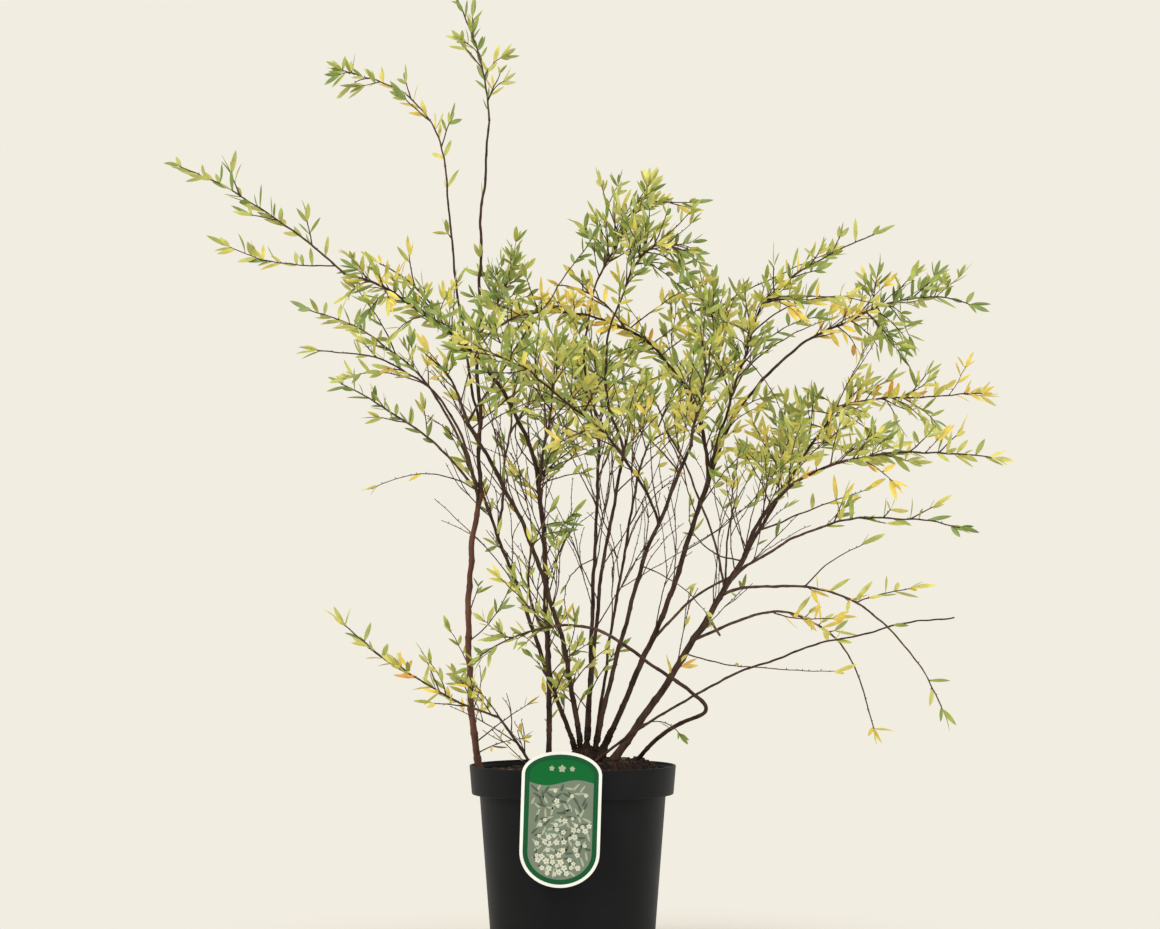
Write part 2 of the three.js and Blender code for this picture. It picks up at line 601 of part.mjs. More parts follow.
// A thin tag with a bowed top and a round bottom, hooked over the pot's rim by a strip behind it.
function labelSolid() {
  const { width, straight, topRise, bottomDrop, thickness, centre, turn, arcSteps } = LABEL;
  const { hookWidth, hookDrop } = LABEL;
  const arc = (middle, height, from) =>
    Array.from({ length: arcSteps + 1 }, (_, i) => {
      const angle = from + (i / arcSteps) * Math.PI;
      return new THREE.Vector2((width / 2) * Math.cos(angle), middle + height * Math.sin(angle));
    });
  const top = arc(straight / 2, topRise, 0);
  const bottom = arc(-straight / 2, bottomDrop, Math.PI);
  const outline = new THREE.Shape([...top, ...bottom]);
  const plate = new THREE.ExtrudeGeometry(outline, { depth: thickness, bevelEnabled: false })
    .rotateZ(THREE.MathUtils.degToRad(turn))
    .rotateX(Math.PI / 2)
    .translate(...centre);
  const [x, frontY] = centre;
  const innerRadius = POT.rimRadius - POT.lip - 2 * GAP;
  const legY = -Math.sqrt(innerRadius ** 2 - (hookWidth / 2 + Math.abs(x)) ** 2);
  const hookTop = POT.height + GAP + thickness;
  const bridgeLength = legY + thickness - frontY + thickness / 2;
  const bridge = new THREE.BoxGeometry(hookWidth, bridgeLength, thickness);
  bridge.translate(x, legY + thickness - bridgeLength / 2, hookTop - thickness / 2);
  const leg = new THREE.BoxGeometry(hookWidth, thickness, hookDrop);
  leg.translate(x, legY + thickness / 2, hookTop - hookDrop / 2);
  return wasm.Manifold.union([plate, bridge, leg].map(solidOf));
}

// ---------- assembly ----------
const shrub = new THREE.Group();
shrub.name = "potted_spirea";
shrub.add(meshOf("pot", potSolid(), LOOKS.pot));
shrub.add(meshOf("soil", soilSolid(), LOOKS.soil));
shrub.add(meshOf("label", labelSolid(), LOOKS.label));
shrub.add(meshOf("root_crown", crownSolid(), LOOKS.bark));

const clearances = [];
for (const limb of limbs.values()) {
  shrub.add(meshOf(limb.name, limbSolid(limb, clearances), LOOKS.bark));
  clearances.push(clearanceOf(limb));
}

// Every mass's main arms take their place before any twig or leaf is tried.
const armsOf = new Map(MASSES.map((mass) => [mass.name, mainArms(mass)]));
for (const [owner, arms] of armsOf)
  for (const { pointAt, stop } of arms) takePath(pointAt, STEM.end, STEM.end, owner, 0, stop);

MASSES.forEach((mass, index) => {
  const whole = massSolid(mass, armsOf.get(mass.name), seededRandom(FIRST_SEED + index));
  const solid = clearances.reduce((rest, clearance) => rest.subtract(clearance), whole);
  const look = YELLOWING.includes(mass.name) ? LOOKS.yellow_leaves : LOOKS.green_leaves;
  shrub.add(meshOf(mass.name, solid, look));
});

export default shrub;
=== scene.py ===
import math
from types import SimpleNamespace as Values

import bmesh
import bpy
import numpy as np
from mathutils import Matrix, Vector, noise


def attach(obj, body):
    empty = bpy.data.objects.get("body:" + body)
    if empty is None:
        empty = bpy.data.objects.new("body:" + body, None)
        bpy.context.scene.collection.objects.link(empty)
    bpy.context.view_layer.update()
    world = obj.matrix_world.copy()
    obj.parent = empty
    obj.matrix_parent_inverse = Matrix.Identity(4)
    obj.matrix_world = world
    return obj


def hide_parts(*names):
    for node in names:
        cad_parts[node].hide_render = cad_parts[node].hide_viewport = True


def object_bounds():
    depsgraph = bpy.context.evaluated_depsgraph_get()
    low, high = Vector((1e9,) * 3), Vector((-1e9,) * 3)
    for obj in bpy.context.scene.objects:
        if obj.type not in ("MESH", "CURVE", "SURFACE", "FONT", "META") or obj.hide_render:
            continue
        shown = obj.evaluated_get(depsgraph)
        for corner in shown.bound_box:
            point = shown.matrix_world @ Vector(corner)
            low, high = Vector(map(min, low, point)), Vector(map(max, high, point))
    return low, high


# A spirea shrub in autumn leaf, in a black nursery pot with a plant label. Places and sizes are worked out in
# millimetres, with the same names, tables and seeded rule as the part's solids, and made in metres by MM.
# +Z is up and -Y is the label's side.
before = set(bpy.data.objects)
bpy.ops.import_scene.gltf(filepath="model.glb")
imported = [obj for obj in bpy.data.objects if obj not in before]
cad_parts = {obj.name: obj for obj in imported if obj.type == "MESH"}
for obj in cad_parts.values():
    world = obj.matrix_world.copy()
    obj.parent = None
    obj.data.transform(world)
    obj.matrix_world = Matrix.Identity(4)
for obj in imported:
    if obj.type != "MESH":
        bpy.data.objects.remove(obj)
cad_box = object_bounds()
noise.seed_set(7)  # without it the wood's crooks would differ from run to run
MM = 0.001
GAP = 0.3  # between neighbouring solids
WHOLE_TURN = 2 * math.pi
GOLDEN_ANGLE = math.radians(137.5)
UP = np.array((0.0, 0.0, 1.0))

# ---------- planter ----------
POT = Values(
    height=205, rim=113.5, band=110.8, band_height=32, shoulder=102.3, foot=89, wall=1.6, lip=2.6, floor=3.4,
    groove_inner=52, groove_outer=70, groove_depth=1.4, slope=1, lip_step=2.5, holes=8, hole=6, segments=192,
)
SOIL = Values(level=198, mound=210, centre=(22, 0), top=59, foot=75, inset=1.8, depth=12,
              rings=64, spokes=180)
LABEL = Values(width=86, straight=83, top=25, bottom=38, thick=0.8, centre=(-12.6, -117, 160), turn=-1.8,
               hook=18, hook_drop=5.5, layer=0.1, border=3.4, band=8.6)
CROWN = Values(centre=(17, 1, 213), radii=(20, 17, 13), foot_rise=4, stub_top=243)

# ---------- the plant's rule ----------
STEM = Values(thickest=1.7, end=1.1)
TWIG = Values(
    base=0.8, end=0.65, bare=0.25, lean=(36, 48), turn=0.6, lift=0.35, reach=(0.85, 1.15), reach_at_foot=1.15,
    reach_lost=0.5, first=0.5, past=0.1, clear_from=0.15, tries=5, next_try=1.7,
)
SHORTEST_ARM = 0.3
# The solids' leaves are larger than life: each stands for a tuft.
COARSE_LEAF = Values(
    length=46, width=16, crowding=0.8, spacing=18, first=0.3, past=0.05, lean=42, lift=0.3,
    lengths=(0.8, 1.15), widths=(0.85, 1.15), clear=(0.25, 0.95), tries=6, next_try=1.1,
)
COARSE_TIP = Values(lean=10, lift=0.05, share=0.8)
FIRST_SEED = 1000
TWIGLET_SEED, FINE_SEED, SPUR_SEED, SIDE_SEED = 5000, 6000, 6500, 6800

# name, grows on, share or foot, heading, lean, length, arch, sway, radius at the foot, radius at the tip
LIMBS = [
    ("west_stem", "soil", (-103, 4), 81, 1, 305, 2, 12, 3.8, 2.9),
    ("south_stem", "soil", (-26, -22), 189, 2, 310, 3, 4, 3.1, 2.5),
    ("leaning_stem", "soil", (44, -16), 0, 33, 265, -3, -2, 4.3, 3),
    ("hooked_stem", "soil", (72, 10), 325, 61, 115, 8, -5, 2.4, 2.1),
    ("long_bare_stem", "soil", (24, -32), 348, 68, 425, 30, -11, 1.6, 0.8),
    ("low_west_stem", "soil", (-40, -52), 191, 34, 75, 2, 0, 1.7, 1.3),
    ("crossing_stem", "crown", (6, 4), 163, 21, 305, 1, 4, 2.6, 1.7),
    ("diagonal_stem", "crown", (9, -12), 208, 21, 390, 21, 13, 2.9, 1.8),
    ("middle_stem", "crown", (14, 13), 72, 8, 370, 3, -2, 2.5, 1.6),
    ("inner_stem", "crown", (17, -3), 303, 12, 340, 14, -1, 2.4, 1.6),
    ("slender_stem", "crown", (24, 12), 67, 23, 345, 11, 0, 1.9, 1.3),
    ("east_inner_stem", "crown", (24, -9), 321, 21, 365, 15, 3, 2.7, 1.8),
    ("east_stem", "crown", (30, 2), 13, 22, 325, -6, -2, 3.3, 2.5),
    ("hooked_bough", "hooked_stem", 1, 192, 54, 155, 1, 7, 2.1, 1.7),
    ("tall_leader", "west_stem", 1, 298, 3, 410, 5, -4, 2.4, 1.1),
    ("second_leader", "tall_leader", 0.17, 132, 11, 300, -7, -1, 1.6, 1),
    ("arching_west_bough", "south_stem", 1, 203, 46, 315, 39, 15, 2.3, 1.2),
    ("west_crossing_bough", "east_inner_stem", 0.74, 210, 44, 210, 14, 13, 1.6, 1.1),
    ("great_arch", "east_stem", 1, 200, 46, 267, 63, 6, 2.2, 1.1),
    ("east_high_bough", "east_stem", 0.96, 27, 45, 285, 35, 7, 2.1, 1.2),
    ("east_inner_bough", "east_stem", 0.9, 313, 24, 245, 6, 1, 1.8, 1.1),
    ("east_low_bough", "leaning_stem", 1, 329, 48, 155, 20, -7, 2.4, 1.4),
    ("east_middle_bough", "leaning_stem", 0.95, 32, 37, 225, 4, 2, 2, 1.2),
    ("top_back_bough", "middle_stem", 1, 52, 7, 200, 0, 30, 1.5, 1),
    ("top_front_bough", "inner_stem", 1, 45, 7, 215, 22, 18, 1.5, 1),
]
LIMB_KEYS = ("name", "on", "at", "heading", "lean", "length", "arch", "sway", "base", "end")

# name, grows on, share, heading, lean, length, arch, sway, spread, twigs, bare, tints, share of twiglets,
# finer twigs for each twig, share of nodes in leaf, and how much of that is left in the shade, if not all
MASSES = [
    ("tall_leader_spray", "tall_leader", 1, 210, 20, 165, 7, 6, 42, 3, 0.02, "fresh", 0.12, 0, 0.85),
    ("second_leader_spray", "second_leader", 1, 162, 47, 155, 27, -11, 45, 3, 0.02, "fresh", 0.05, 0, 0.54),
    ("far_west_spray", "arching_west_bough", 1, 191, 58, 225, 9, 6, 42, 3, 0.1, "summer", 0.05, 0, 0.698),
    ("arching_west_leaves", "arching_west_bough", 0.55, 164, 49, 140, 7, -10, 52, 4, 0.05, "fresh",
     0.1, 0.1, 0.2),
    ("west_upper_spray", "west_stem", 0.965, 150, 47, 325, 49, -6, 44, 3, 0.45, "green", 0.05, 0, 0.65),
    ("west_middle_spray", "west_stem", 0.93, 196, 48, 265, 62, 12, 42, 3, 0.45, "turning", 0.05, 0, 0.36),
    ("west_low_spray", "crossing_stem", 1, 164, 54, 225, 14, -5, 42, 3, 0.35, "fresh", 0.1, 0, 0.8),
    ("north_west_clump", "tall_leader", 0.42, 348, 25, 110, -3, 1, 52, 4, 0.25, "deep", 0.8, 1.5, 0.95),
    ("diagonal_spray", "diagonal_stem", 1, 241, 52, 125, 13, 2, 52, 4, 0.15, "turning", 0.1, 0.2, 0.4),
    ("great_arch_spray", "great_arch", 1, 224, 116, 110, 14, 1, 56, 5, 0.02, "green", 0.5, 0.9, 0.6),
    ("great_arch_leaves", "great_arch", 0.7, 167, 62, 105, 14, 0, 45, 4, 0.05, "yellow", 0.1, 0.1, 0.15),
    ("top_back_clump", "top_back_bough", 1, 23, 67, 110, 32, -1, 62, 5, 0.02, "fresh", 0.4, 0.4, 0.65),
    ("top_front_clump", "top_front_bough", 1, 332, 104, 60, 22, -2, 58, 5, 0.02, "summer", 0.2, 0.35, 0.55),
    ("middle_front_spray", "south_stem", 0.96, 279, 42, 204, -2, 0, 75, 6, 0.3, "fresh",
     0.698, 1.204, 0.902, 0),
    ("middle_west_spray", "west_crossing_bough", 1, 235, 75, 130, 5, 2, 68, 5, 0.02, "green", 0.55, 0.9, 0.7),
    ("middle_back_spray", "slender_stem", 1, 72, 58, 225, 3, 2, 82, 6, 0.1, "green", 0.4, 0.45, 0.391, 0),
    ("north_spray", "middle_stem", 0.9, 100, 60, 287, -13, -13, 82, 6, 0.3, "fresh", 0.7, 1.02, 0.765, 0),
    ("east_inner_spray", "east_inner_stem", 1, 280, 50, 170, 4, 1, 72, 6, 0.05, "fresh", 0.6, 0.8, 0.585, 0),
    ("north_east_spray", "east_inner_bough", 1, 339, 60, 160, 8, -4, 42, 4, 0.02, "green", 0.05, 0, 0.24),
    ("east_crown_clump", "east_inner_bough", 0.55, 126, 12, 140, 5, 16, 66, 6, 0.15, "fresh", 0.5, 0.9, 0.9),
    ("far_east_spray", "east_high_bough", 1, 14, 87, 145, 19, 3, 50, 4, 0.02, "deep", 0.35, 0.5, 0.58),
    ("east_middle_spray", "east_middle_bough", 1, 10, 86, 180, 5, 2, 46, 4, 0.02, "turning", 0.2, 0.35, 0.64),
    ("east_low_spray", "east_low_bough", 1, 348, 90, 180, 11, -2, 42, 4, 0.02, "turning", 0.2, 0.4, 0.55),
    ("east_drooping_spray", "leaning_stem", 0.9, 325, 80, 305, 36, -7, 46, 4, 0.42, "turning", 0.1, 0.1, 0.5),
    ("weeping_front_shoot", "leaning_stem", 0.82, 325, 115, 313, 66, 2, 30, 0, 0.8, "turning", 0.1, 0, 0.45),
    ("weeping_back_shoot", "leaning_stem", 0.6, 32, 116, 275, 88, 2, 30, 0, 0.78, "turning", 0.1, 0, 0.45),
    ("east_back_spray", "east_middle_bough", 0.45, 82, 74, 260, 11, 9, 80, 6, 0.15, "fresh", 0.7, 1.5, 0.75),
    ("west_back_spray", "crossing_stem", 0.85, 83, 43, 312, -1, 2, 72, 5, 0.4, "green", 0.4, 0.6, 0.8, 0),
    ("south_clump", "south_stem", 0.45, 286, 16, 150, -1, -29, 36, 3, 0.2, "fresh", 0.1, 0.1, 0.4),
    ("low_west_spray", "low_west_stem", 1, 199, 59, 215, -12, 3, 44, 4, 0.1, "turning", 0.1, 0, 0.38),
    ("low_inner_spray", "hooked_bough", 1, 191, 105, 150, 17, -6, 44, 3, 0.3, "fresh", 0.2, 0.2, 0.5),
]
MASS_KEYS = ("name", "on", "at", "heading", "lean", "length", "arch", "sway", "spread", "twigs", "bare",
             "tints", "full", "more", "leafy", "shade")

# mass, share, heading, lean, length, arch, sway
SECOND_ARMS = [
    ("far_west_spray", 0.06, 172, 79, 130, -9, -4),
    ("north_east_spray", 0.04, 5, 92, 129, 7, 0),
    ("far_east_spray", 0.06, 320, 131, 75, -1, -5),
    ("weeping_front_shoot", 0.5, 9, 77, 75, 2, 1),
    ("weeping_back_shoot", 0.3, 340, 93, 85, -5, -13),
    ("low_inner_spray", 0.35, 212, 51, 95, 1, 1),
]
SECOND_ARM_KEYS = ("mass", "at", "heading", "lean", "length", "arch", "sway")
SECOND_ARM_BARE = 0.15

# Plain colours of the leaves, as seen (sRGB, 0 to 255), from summer green to autumn.
TINTS = {
    "deep_green": (118, 142, 52),
    "green": (154, 166, 66),
    "light_green": (187, 189, 90),
    "yellow_green": (213, 204, 92),
    "yellow": (239, 207, 84),
    "orange": (231, 168, 60),
}
GREEN_TINTS = 3  # of them; the rest are autumn's
NEXT_TINT = 0.27  # share of leaves that are a tint greener than their spray, and as many that are yellower
RARE_TINT = 0.35  # share of the leaves due to be orange that are
# How the sprays of a mass share these out.
TINT_SHARES = {
    "deep": (5, 4, 1, 0, 0, 0),
    "summer": (2, 8, 1, 0, 0, 0),
    "green": (2, 6, 4, 0, 0, 0),
    "fresh": (1, 4, 5, 2, 0, 0),
    "turning": (0, 3, 6, 4, 1, 0),
    "yellow": (0, 1, 2, 5, 4, 1),
    "gold": (0, 0, 0, 2, 6, 3),
}

# Finer shoots, by the same rule, that stand for the thin growth inside the crown. After what they grow on:
# share, heading, lean, length, tints, radius, bare, share of nodes in leaf, arch, sway. A row ends where the
# rest of it is as in FINE_USUAL.
FINE_SHOOTS = [
    ("west_stem", (1, 215, 88, 140, "turning", 0.8, 0.45, 0.15, 18, 8)),
    ("west_upper_spray", (0.6, 245, 54, 123, "green", 0.8, 0.15, 0.7, 1, 1)),
    ("west_middle_spray", (0.52, 156, 84, 99, "turning", 0.8, 0.25, 0.6, 10, -2)),
    ("diagonal_stem", (0.98, 20, 52, 72, "turning", 0.9, 0.6, 0.6, 1, -4)),
    ("arching_west_bough", (0.03, 81, 45, 124, "green", 0.9, 0.55, 0.5, 3, 30),
     (0.1, 297, 5, 75, "turning", 0.9, 0.5, 0.6, 2, -4)),
    ("tall_leader", (0.2, 313, 65, 101, "turning", 0.8, 0.6, 0.7, -1, -2)),
    ("west_crossing_bough", (0.74, 54, 58, 132, "green", 1.1, 0.35, 0.9, 7, 5)),
    ("middle_stem", (0.83, 357, 24, 95, "fresh", 0.9, 0.4, 0.6, 1)),
    ("top_front_bough", (0.02, 345, 35, 54, "turning", 0.8, 0.3, 0.6, -6, -1)),
    ("east_inner_stem", (0.92, 102, 56, 138, "fresh", 0.9, 0.4, 0.5, -2, -3),
     (0.9, 109, 69, 168, "green", 1.1, 0.4, 0.5, -3, -12)),
    ("great_arch", (0.14, 250, 59, 91, "fresh", 0.8, 0.2, 0.35, -4, -5),
     (0.69, 341, 60, 106, "turning", 0.8, 0.12, 0.6, 4, -2),
     (0.57, 31, 56, 97, "green", 0.9, 0.2, 0.8, -1, 6), (0.51, 49, 64, 113, "green", 0.8, 0.25, 0.8, 1, 7)),
    ("east_crown_clump", (0.67, 25, 65, 171, "green", 0.9, 0.1, 0.2, 4, 5)),
    ("east_inner_bough", (0.52, 19, 52, 146, "yellow", 1.25, 0.75, 0.4, 17, 7),
     (0.74, 321, 140, 89, "turning", 0.7, 0.55, 0.5, 6)),
    ("leaning_stem", (0.85, 196, 21, 185, "green", 1.3, 1, 0, 6, 3),
     (0.86, 61, 31, 169, "fresh", 1.3, 0.75, 0.6, 2, 17)),
    ("east_middle_bough", (0.18, 281, 27, 102, "fresh", 1.2, 0.6, 0.8, -5, 5)),
    ("east_stem", (0.42, 4, 51, 121, "green", 1.5, 1, 0, 8)),
    ("east_middle_bough", (0.23, 341, 70, 134, "turning", 1.2, 0.45, 0.4, -2, -1)),
    ("weeping_front_shoot", (0.29, 0, 55, 80, "turning", 0.8, 0.6, 0.1, 4)),
    ("leaning_stem", (0.53, 337, 95, 185, "turning", 0.8, 0.3, 0.12, -6, -3)),
    ("east_inner_stem", (0.6, 350, 128, 91, "turning", 0.7, 0.5, 0.4, 9, 1)),
    ("middle_stem", (0.59, 255, 117, 138, "turning", 0.7, 0.3, 0.3, 11, -11)),
    ("south_stem", (0.71, 315, 42, 71, "green", 0.8, 0.3, 0.6, 4),
     (0.57, 283, 47, 89, "fresh", 0.8, 0.2, 0.6, 2, 2)),
    ("west_stem", (0.47, 316, 43, 99, "fresh", 0.8, 0.2, 0.6, -5, 9)),
    ("south_stem", (0.21, 300, 43, 93, "fresh", 0.8, 0.2, 0.6, 0, 2)),
    ("leaning_stem", (0.17, 318, 96, 64, "green", 0.7, 0.3, 0.4, 10, 3)),
    ("west_stem", (0.1, 317, 60, 93, "turning", 0.8, 0.3, 0.15, 0, -1),
     (0.06, 306, 77, 94, "turning", 0.8, 0.3, 0.15, 3, -2)),
    ("south_stem", (0.78, 120, 38, 141, "fresh", 1, 0.6, 0.5, -9, 4)),
    ("crossing_stem", (0.91, 237, 41, 130, "turning", 1.2, 0.6, 0.6, 4)),
    ("inner_stem", (0.86, 54, 60, 169, "fresh", 0.9, 0.4, 0.4, -2, 3)),
    ("east_inner_stem", (0.75, 217, 8, 87, "green", 0.9, 0.5, 0.2, -2, -2)),
    ("east_stem", (0.91, 299, 59, 115, "turning", 0.9, 0.3, 0.8, 3, -1)),
    ("leaning_stem", (0.98, 117, 61, 137, "fresh", 1, 0.6, 0.6, -14, 16)),
    ("middle_stem", (0.86, 258, 80, 149, "yellow", 0.8, 0.2, 0.4, 8, 6)),
    ("south_stem", (0.97, 335, 42, 85, "fresh", 0.8, 0.15, 1, 4, 2),
     (0.9, 300, 28, 80, "turning", 0.8, 0.3, 1, 3, -2), (1, 350, 62, 62, "green", 0.7, 0.1, 0.3)),
    ("east_inner_bough", (0.85, 350, 70, 120, "turning", 0.9, 0.3, 1, 14),
     (0.7, 20, 60, 110, "fresh", 0.9, 0.3, 1, 12)),
    ("top_back_bough", (0.98, 300, 12, 62, "fresh", 0.8, 0.05, 1, 2),
     (0.96, 330, 40, 66, "green", 0.8, 0.1, 1, 4)),
    ("top_front_bough", (0.94, 200, 14, 66, "green", 0.8, 0.1, 1, 2)),
    ("leaning_stem", (0.72, 350, 150, 22, "green", 1.5, 1, 0, 0)),
    ("top_front_bough", (1, 350, 128, 52, "deep", 0.8), (0.97, 20, 95, 46, "deep", 0.8)),
    ("diagonal_stem", (0.96, 350, 62, 90, "fresh", 0.8, 0.3, 1, 6)),
    ("south_stem", (0.95, 20, 48, 95, "turning", 0.8, 0.3, 1, 5)),
    ("west_crossing_bough", (0.3, 200, 40, 60, "green", 0.8, 0.1, 0.5),
     (0.45, 240, 60, 60, "turning", 0.8, 0.1), (0.62, 200, 108, 48, "fresh", 0.8, 0.1),
     (0.8, 335, 95, 48, "turning", 0.8, 0.1), (0.84, 0, 150, 42, "fresh", 0.8, 0.1)),
    ("top_back_bough", (1, 180, 22, 34, "yellow", 0.8), (0.92, 270, 26, 52, "deep", 0.8),
     (1, 10, 24, 56, "green", 0.8)),
    ("top_front_bough", (1, 90, 40, 46, "deep", 0.8)),
    ("great_arch", (0.98, 300, 80, 26, "gold", 0.8), (0.99, 170, 92, 34, "yellow", 0.8),
     (0.93, 150, 50, 22, "yellow", 0.8), (0.86, 240, 105, 36, "turning", 0.8),
     (0.96, 200, 110, 40, "green", 0.8), (0.1, 300, 40, 58, "fresh", 0.8, 0.1)),
    ("south_stem", (1, 0, 30, 68, "fresh", 0.8, 0.1, 1, 2), (1, 12, 52, 74, "yellow", 0.8, 0.1),
     (1, 40, 12, 66, "green", 0.8, 0.1, 1, 2), (0.97, 345, 72, 56, "fresh", 0.8, 0.1, 0.3)),
    ("east_stem", (0.96, 300, 30, 60, "fresh", 0.8, 0.1), (1, 330, 12, 60, "green", 0.8, 0.1)),
    ("east_middle_bough", (0.45, 200, 44, 62, "fresh", 0.8, 0.1), (0.56, 180, 58, 60, "turning", 0.8, 0.1),
     (0.75, 310, 95, 50, "green", 0.8, 0.1), (0.97, 330, 120, 55, "turning", 0.8, 0.1),
     (1, 300, 100, 50, "fresh", 0.8, 0.1)),
    ("east_low_bough", (0.95, 60, 30, 55, "fresh", 0.8, 0.1), (1, 15, 55, 60, "turning", 0.8, 0.1)),
    ("east_low_spray", (0.12, 330, 120, 52, "turning", 0.8, 0.1)),
    ("east_inner_bough", (1, 15, 85, 60, "turning", 0.8), (0.98, 300, 50, 42, "yellow", 0.8)),
    ("north_east_spray", (0.06, 310, 95, 44, "fresh")),
    ("far_east_spray", (0.1, 340, 130, 55, "turning", 0.8), (0.22, 20, 140, 50, "deep", 0.8),
     (0.2, 300, 112, 42, "deep", 0.8)),
    ("top_back_bough", (1, 340, 14, 48, "yellow", 0.8)),
    ("top_front_clump", (0.4, 340, 140, 46, "deep", 0.8), (0.6, 20, 120, 40, "deep", 0.8),
     (0.25, 290, 100, 38, "deep", 0.8)),
    ("low_west_spray", (0.14, 200, 30, 44, "turning", 0.7, 0.1), (0.3, 190, 26, 38, "yellow", 0.7, 0.1),
     (0.04, 190, 42, 50, "fresh", 0.7, 0.1)),
    ("diagonal_stem", (0.2, 0, 42, 60, "fresh", 0.7, 0.2)),
    ("middle_stem", (0.18, 10, 34, 60, "turning", 0.7, 0.2)),
    ("inner_stem", (0.14, 200, 42, 50, "fresh", 0.7, 0.2)),
    ("south_stem", (0.3, 20, 52, 60, "fresh", 0.7, 0.2)),
    ("tall_leader_spray", (0.12, 20, 42, 32, "yellow"), (0.28, 330, 46, 32, "turning"),
     (0.42, 200, 50, 28, "fresh")),
    ("second_leader_spray", (0.97, 185, 72, 20, "green", 0.6, 0.05, 1, 0),
     (0.8, 190, 105, 24, "green", 0.6, 0.05, 1, 0)),
    ("arching_west_bough", (0.66, 300, 110, 42, "fresh"), (0.75, 330, 122, 38, "green"),
     (0.84, 200, 132, 34, "fresh"), (0.92, 215, 122, 30, "turning")),
    ("crossing_stem", (0.95, 180, 30, 50, "fresh", 0.7, 0.1)),
    ("tall_leader", (0.18, 200, 42, 38, "fresh", 0.7, 0.1)),
    ("south_stem", (0.93, 160, 52, 40, "green", 0.7, 0.1)),
    ("east_middle_spray", (0.35, 330, 125, 45, "turning")),
    ("top_back_bough", (0.95, 170, 42, 46, "green", 0.8), (0.9, 150, 30, 50, "deep", 0.8),
     (1, 90, 12, 44, "fresh", 0.8)),
    ("great_arch", (0.9, 200, 70, 26, "gold"), (0.95, 260, 60, 24, "yellow"), (1, 210, 62, 26, "turning"),
     (0.92, 60, 62, 26, "yellow"), (0.62, 250, 120, 50, "green"), (0.55, 200, 112, 50, "fresh")),
    ("inner_stem", (1, 340, 20, 80, "fresh", 0.7, 0.1)),
    ("east_inner_bough", (0.75, 100, 20, 45, "fresh"), (0.9, 280, 50, 40, "green"),
     (0.82, 90, 62, 40, "turning")),
    ("north_east_spray", (0.02, 330, 60, 40, "fresh"), (0.1, 20, 120, 36, "turning")),
    ("east_low_spray", (0.08, 320, 55, 40, "turning"), (0.2, 300, 62, 36, "yellow")),
    ("east_middle_spray", (0.3, 300, 140, 40, "fresh"), (0.42, 0, 130, 45, "turning")),
    ("south_stem", (0.9, 190, 36, 45, "fresh", 0.7, 0.1), (1, 60, 36, 40, "green", 0.7, 0.1),
     (0.98, 290, 62, 45, "fresh", 0.7, 0.1)),
    ("arching_west_bough", (0.7, 180, 118, 36, "fresh"), (0.8, 320, 105, 36, "green"),
     (0.88, 300, 125, 30, "turning")),
    ("great_arch", (0.97, 270, 72, 28, "turning"), (0.97, 90, 72, 28, "fresh"), (0.9, 270, 62, 30, "yellow"),
     (0.9, 90, 52, 28, "turning")),
    ("great_arch_spray", (0.25, 200, 62, 38, "deep"), (0.5, 90, 62, 38, "deep"), (0.6, 330, 82, 40, "deep")),
    ("top_front_bough", (0.3, 30, 62, 48, "fresh"), (0.36, 200, 66, 44, "green"),
     (0.43, 320, 60, 42, "fresh")),
    ("great_arch", (0.2, 20, 46, 46, "green"), (0.27, 350, 40, 46, "fresh"), (0.33, 80, 50, 40, "green")),
    ("top_front_bough", (1, 120, 22, 46, "fresh", 0.8), (1, 230, 30, 42, "green", 0.8)),
    ("top_front_clump", (0.3, 10, 96, 38, "deep", 0.8), (0.5, 350, 110, 36, "deep", 0.8)),
    ("north_east_spray", (0.04, 330, 112, 36, "yellow")),
    ("east_inner_bough", (1, 0, 84, 36, "turning"), (1, 300, 60, 32, "yellow")),
    ("far_east_spray", (0.05, 300, 128, 42, "deep", 0.8), (0.14, 60, 132, 46, "deep", 0.8)),
    ("east_high_bough", (0.96, 330, 134, 46, "deep", 0.8), (0.9, 0, 140, 34, "gold", 0.8)),
    ("south_stem", (1, 200, 22, 42, "fresh", 0.7, 0.1)),
    ("tall_leader", (0.2, 20, 52, 32, "yellow", 0.7, 0.1), (0.23, 330, 46, 30, "fresh", 0.7, 0.1)),
    ("arching_west_bough", (0.6, 90, 22, 36, "fresh"), (0.65, 50, 26, 34, "fresh"),
     (0.7, 110, 22, 32, "green")),
    ("inner_stem", (1, 20, 14, 85, "fresh", 0.7, 0.2), (1, 200, 8, 76, "green", 0.7, 0.3)),
    ("middle_stem", (1, 30, 32, 82, "fresh", 0.7, 0.2)),
    ("great_arch", (0.6, 200, 122, 62, "fresh")),
    ("south_stem", (1, 0, 30, 42, "green", 0.7, 0.1), (1, 40, 56, 46, "fresh", 0.7, 0.1),
     (1, 320, 44, 44, "summer", 0.7, 0.1)),
    ("east_high_bough", (0.25, 0, 50, 42, "fresh", 0.7, 0.1, 0.6), (0.35, 330, 70, 42, "turning", 0.7, 0.1)),
    ("great_arch", (0.08, 20, 50, 46, "fresh", 0.7, 0.1, 0.6)),
    ("top_front_clump", (0.1, 0, 112, 36, "fresh", 0.8), (0.2, 40, 120, 36, "deep", 0.8)),
    ("great_arch_spray", (0.04, 270, 62, 32, "fresh"), (0.1, 90, 80, 32, "green")),
    ("great_arch_leaves", (0.6, 270, 70, 30, "turning")),
    ("second_leader_spray", (0.95, 210, 96, 24, "green", 0.6), (0.88, 170, 118, 24, "green", 0.6),
     (1, 240, 84, 18, "fresh", 0.6, 0.05, 1, 0)),
    ("diagonal_stem", (1, 5, 34, 252, "green", 1.4, 0.82, 1, 2)),
    ("east_low_bough", (1, 20, 60, 40, "turning")),
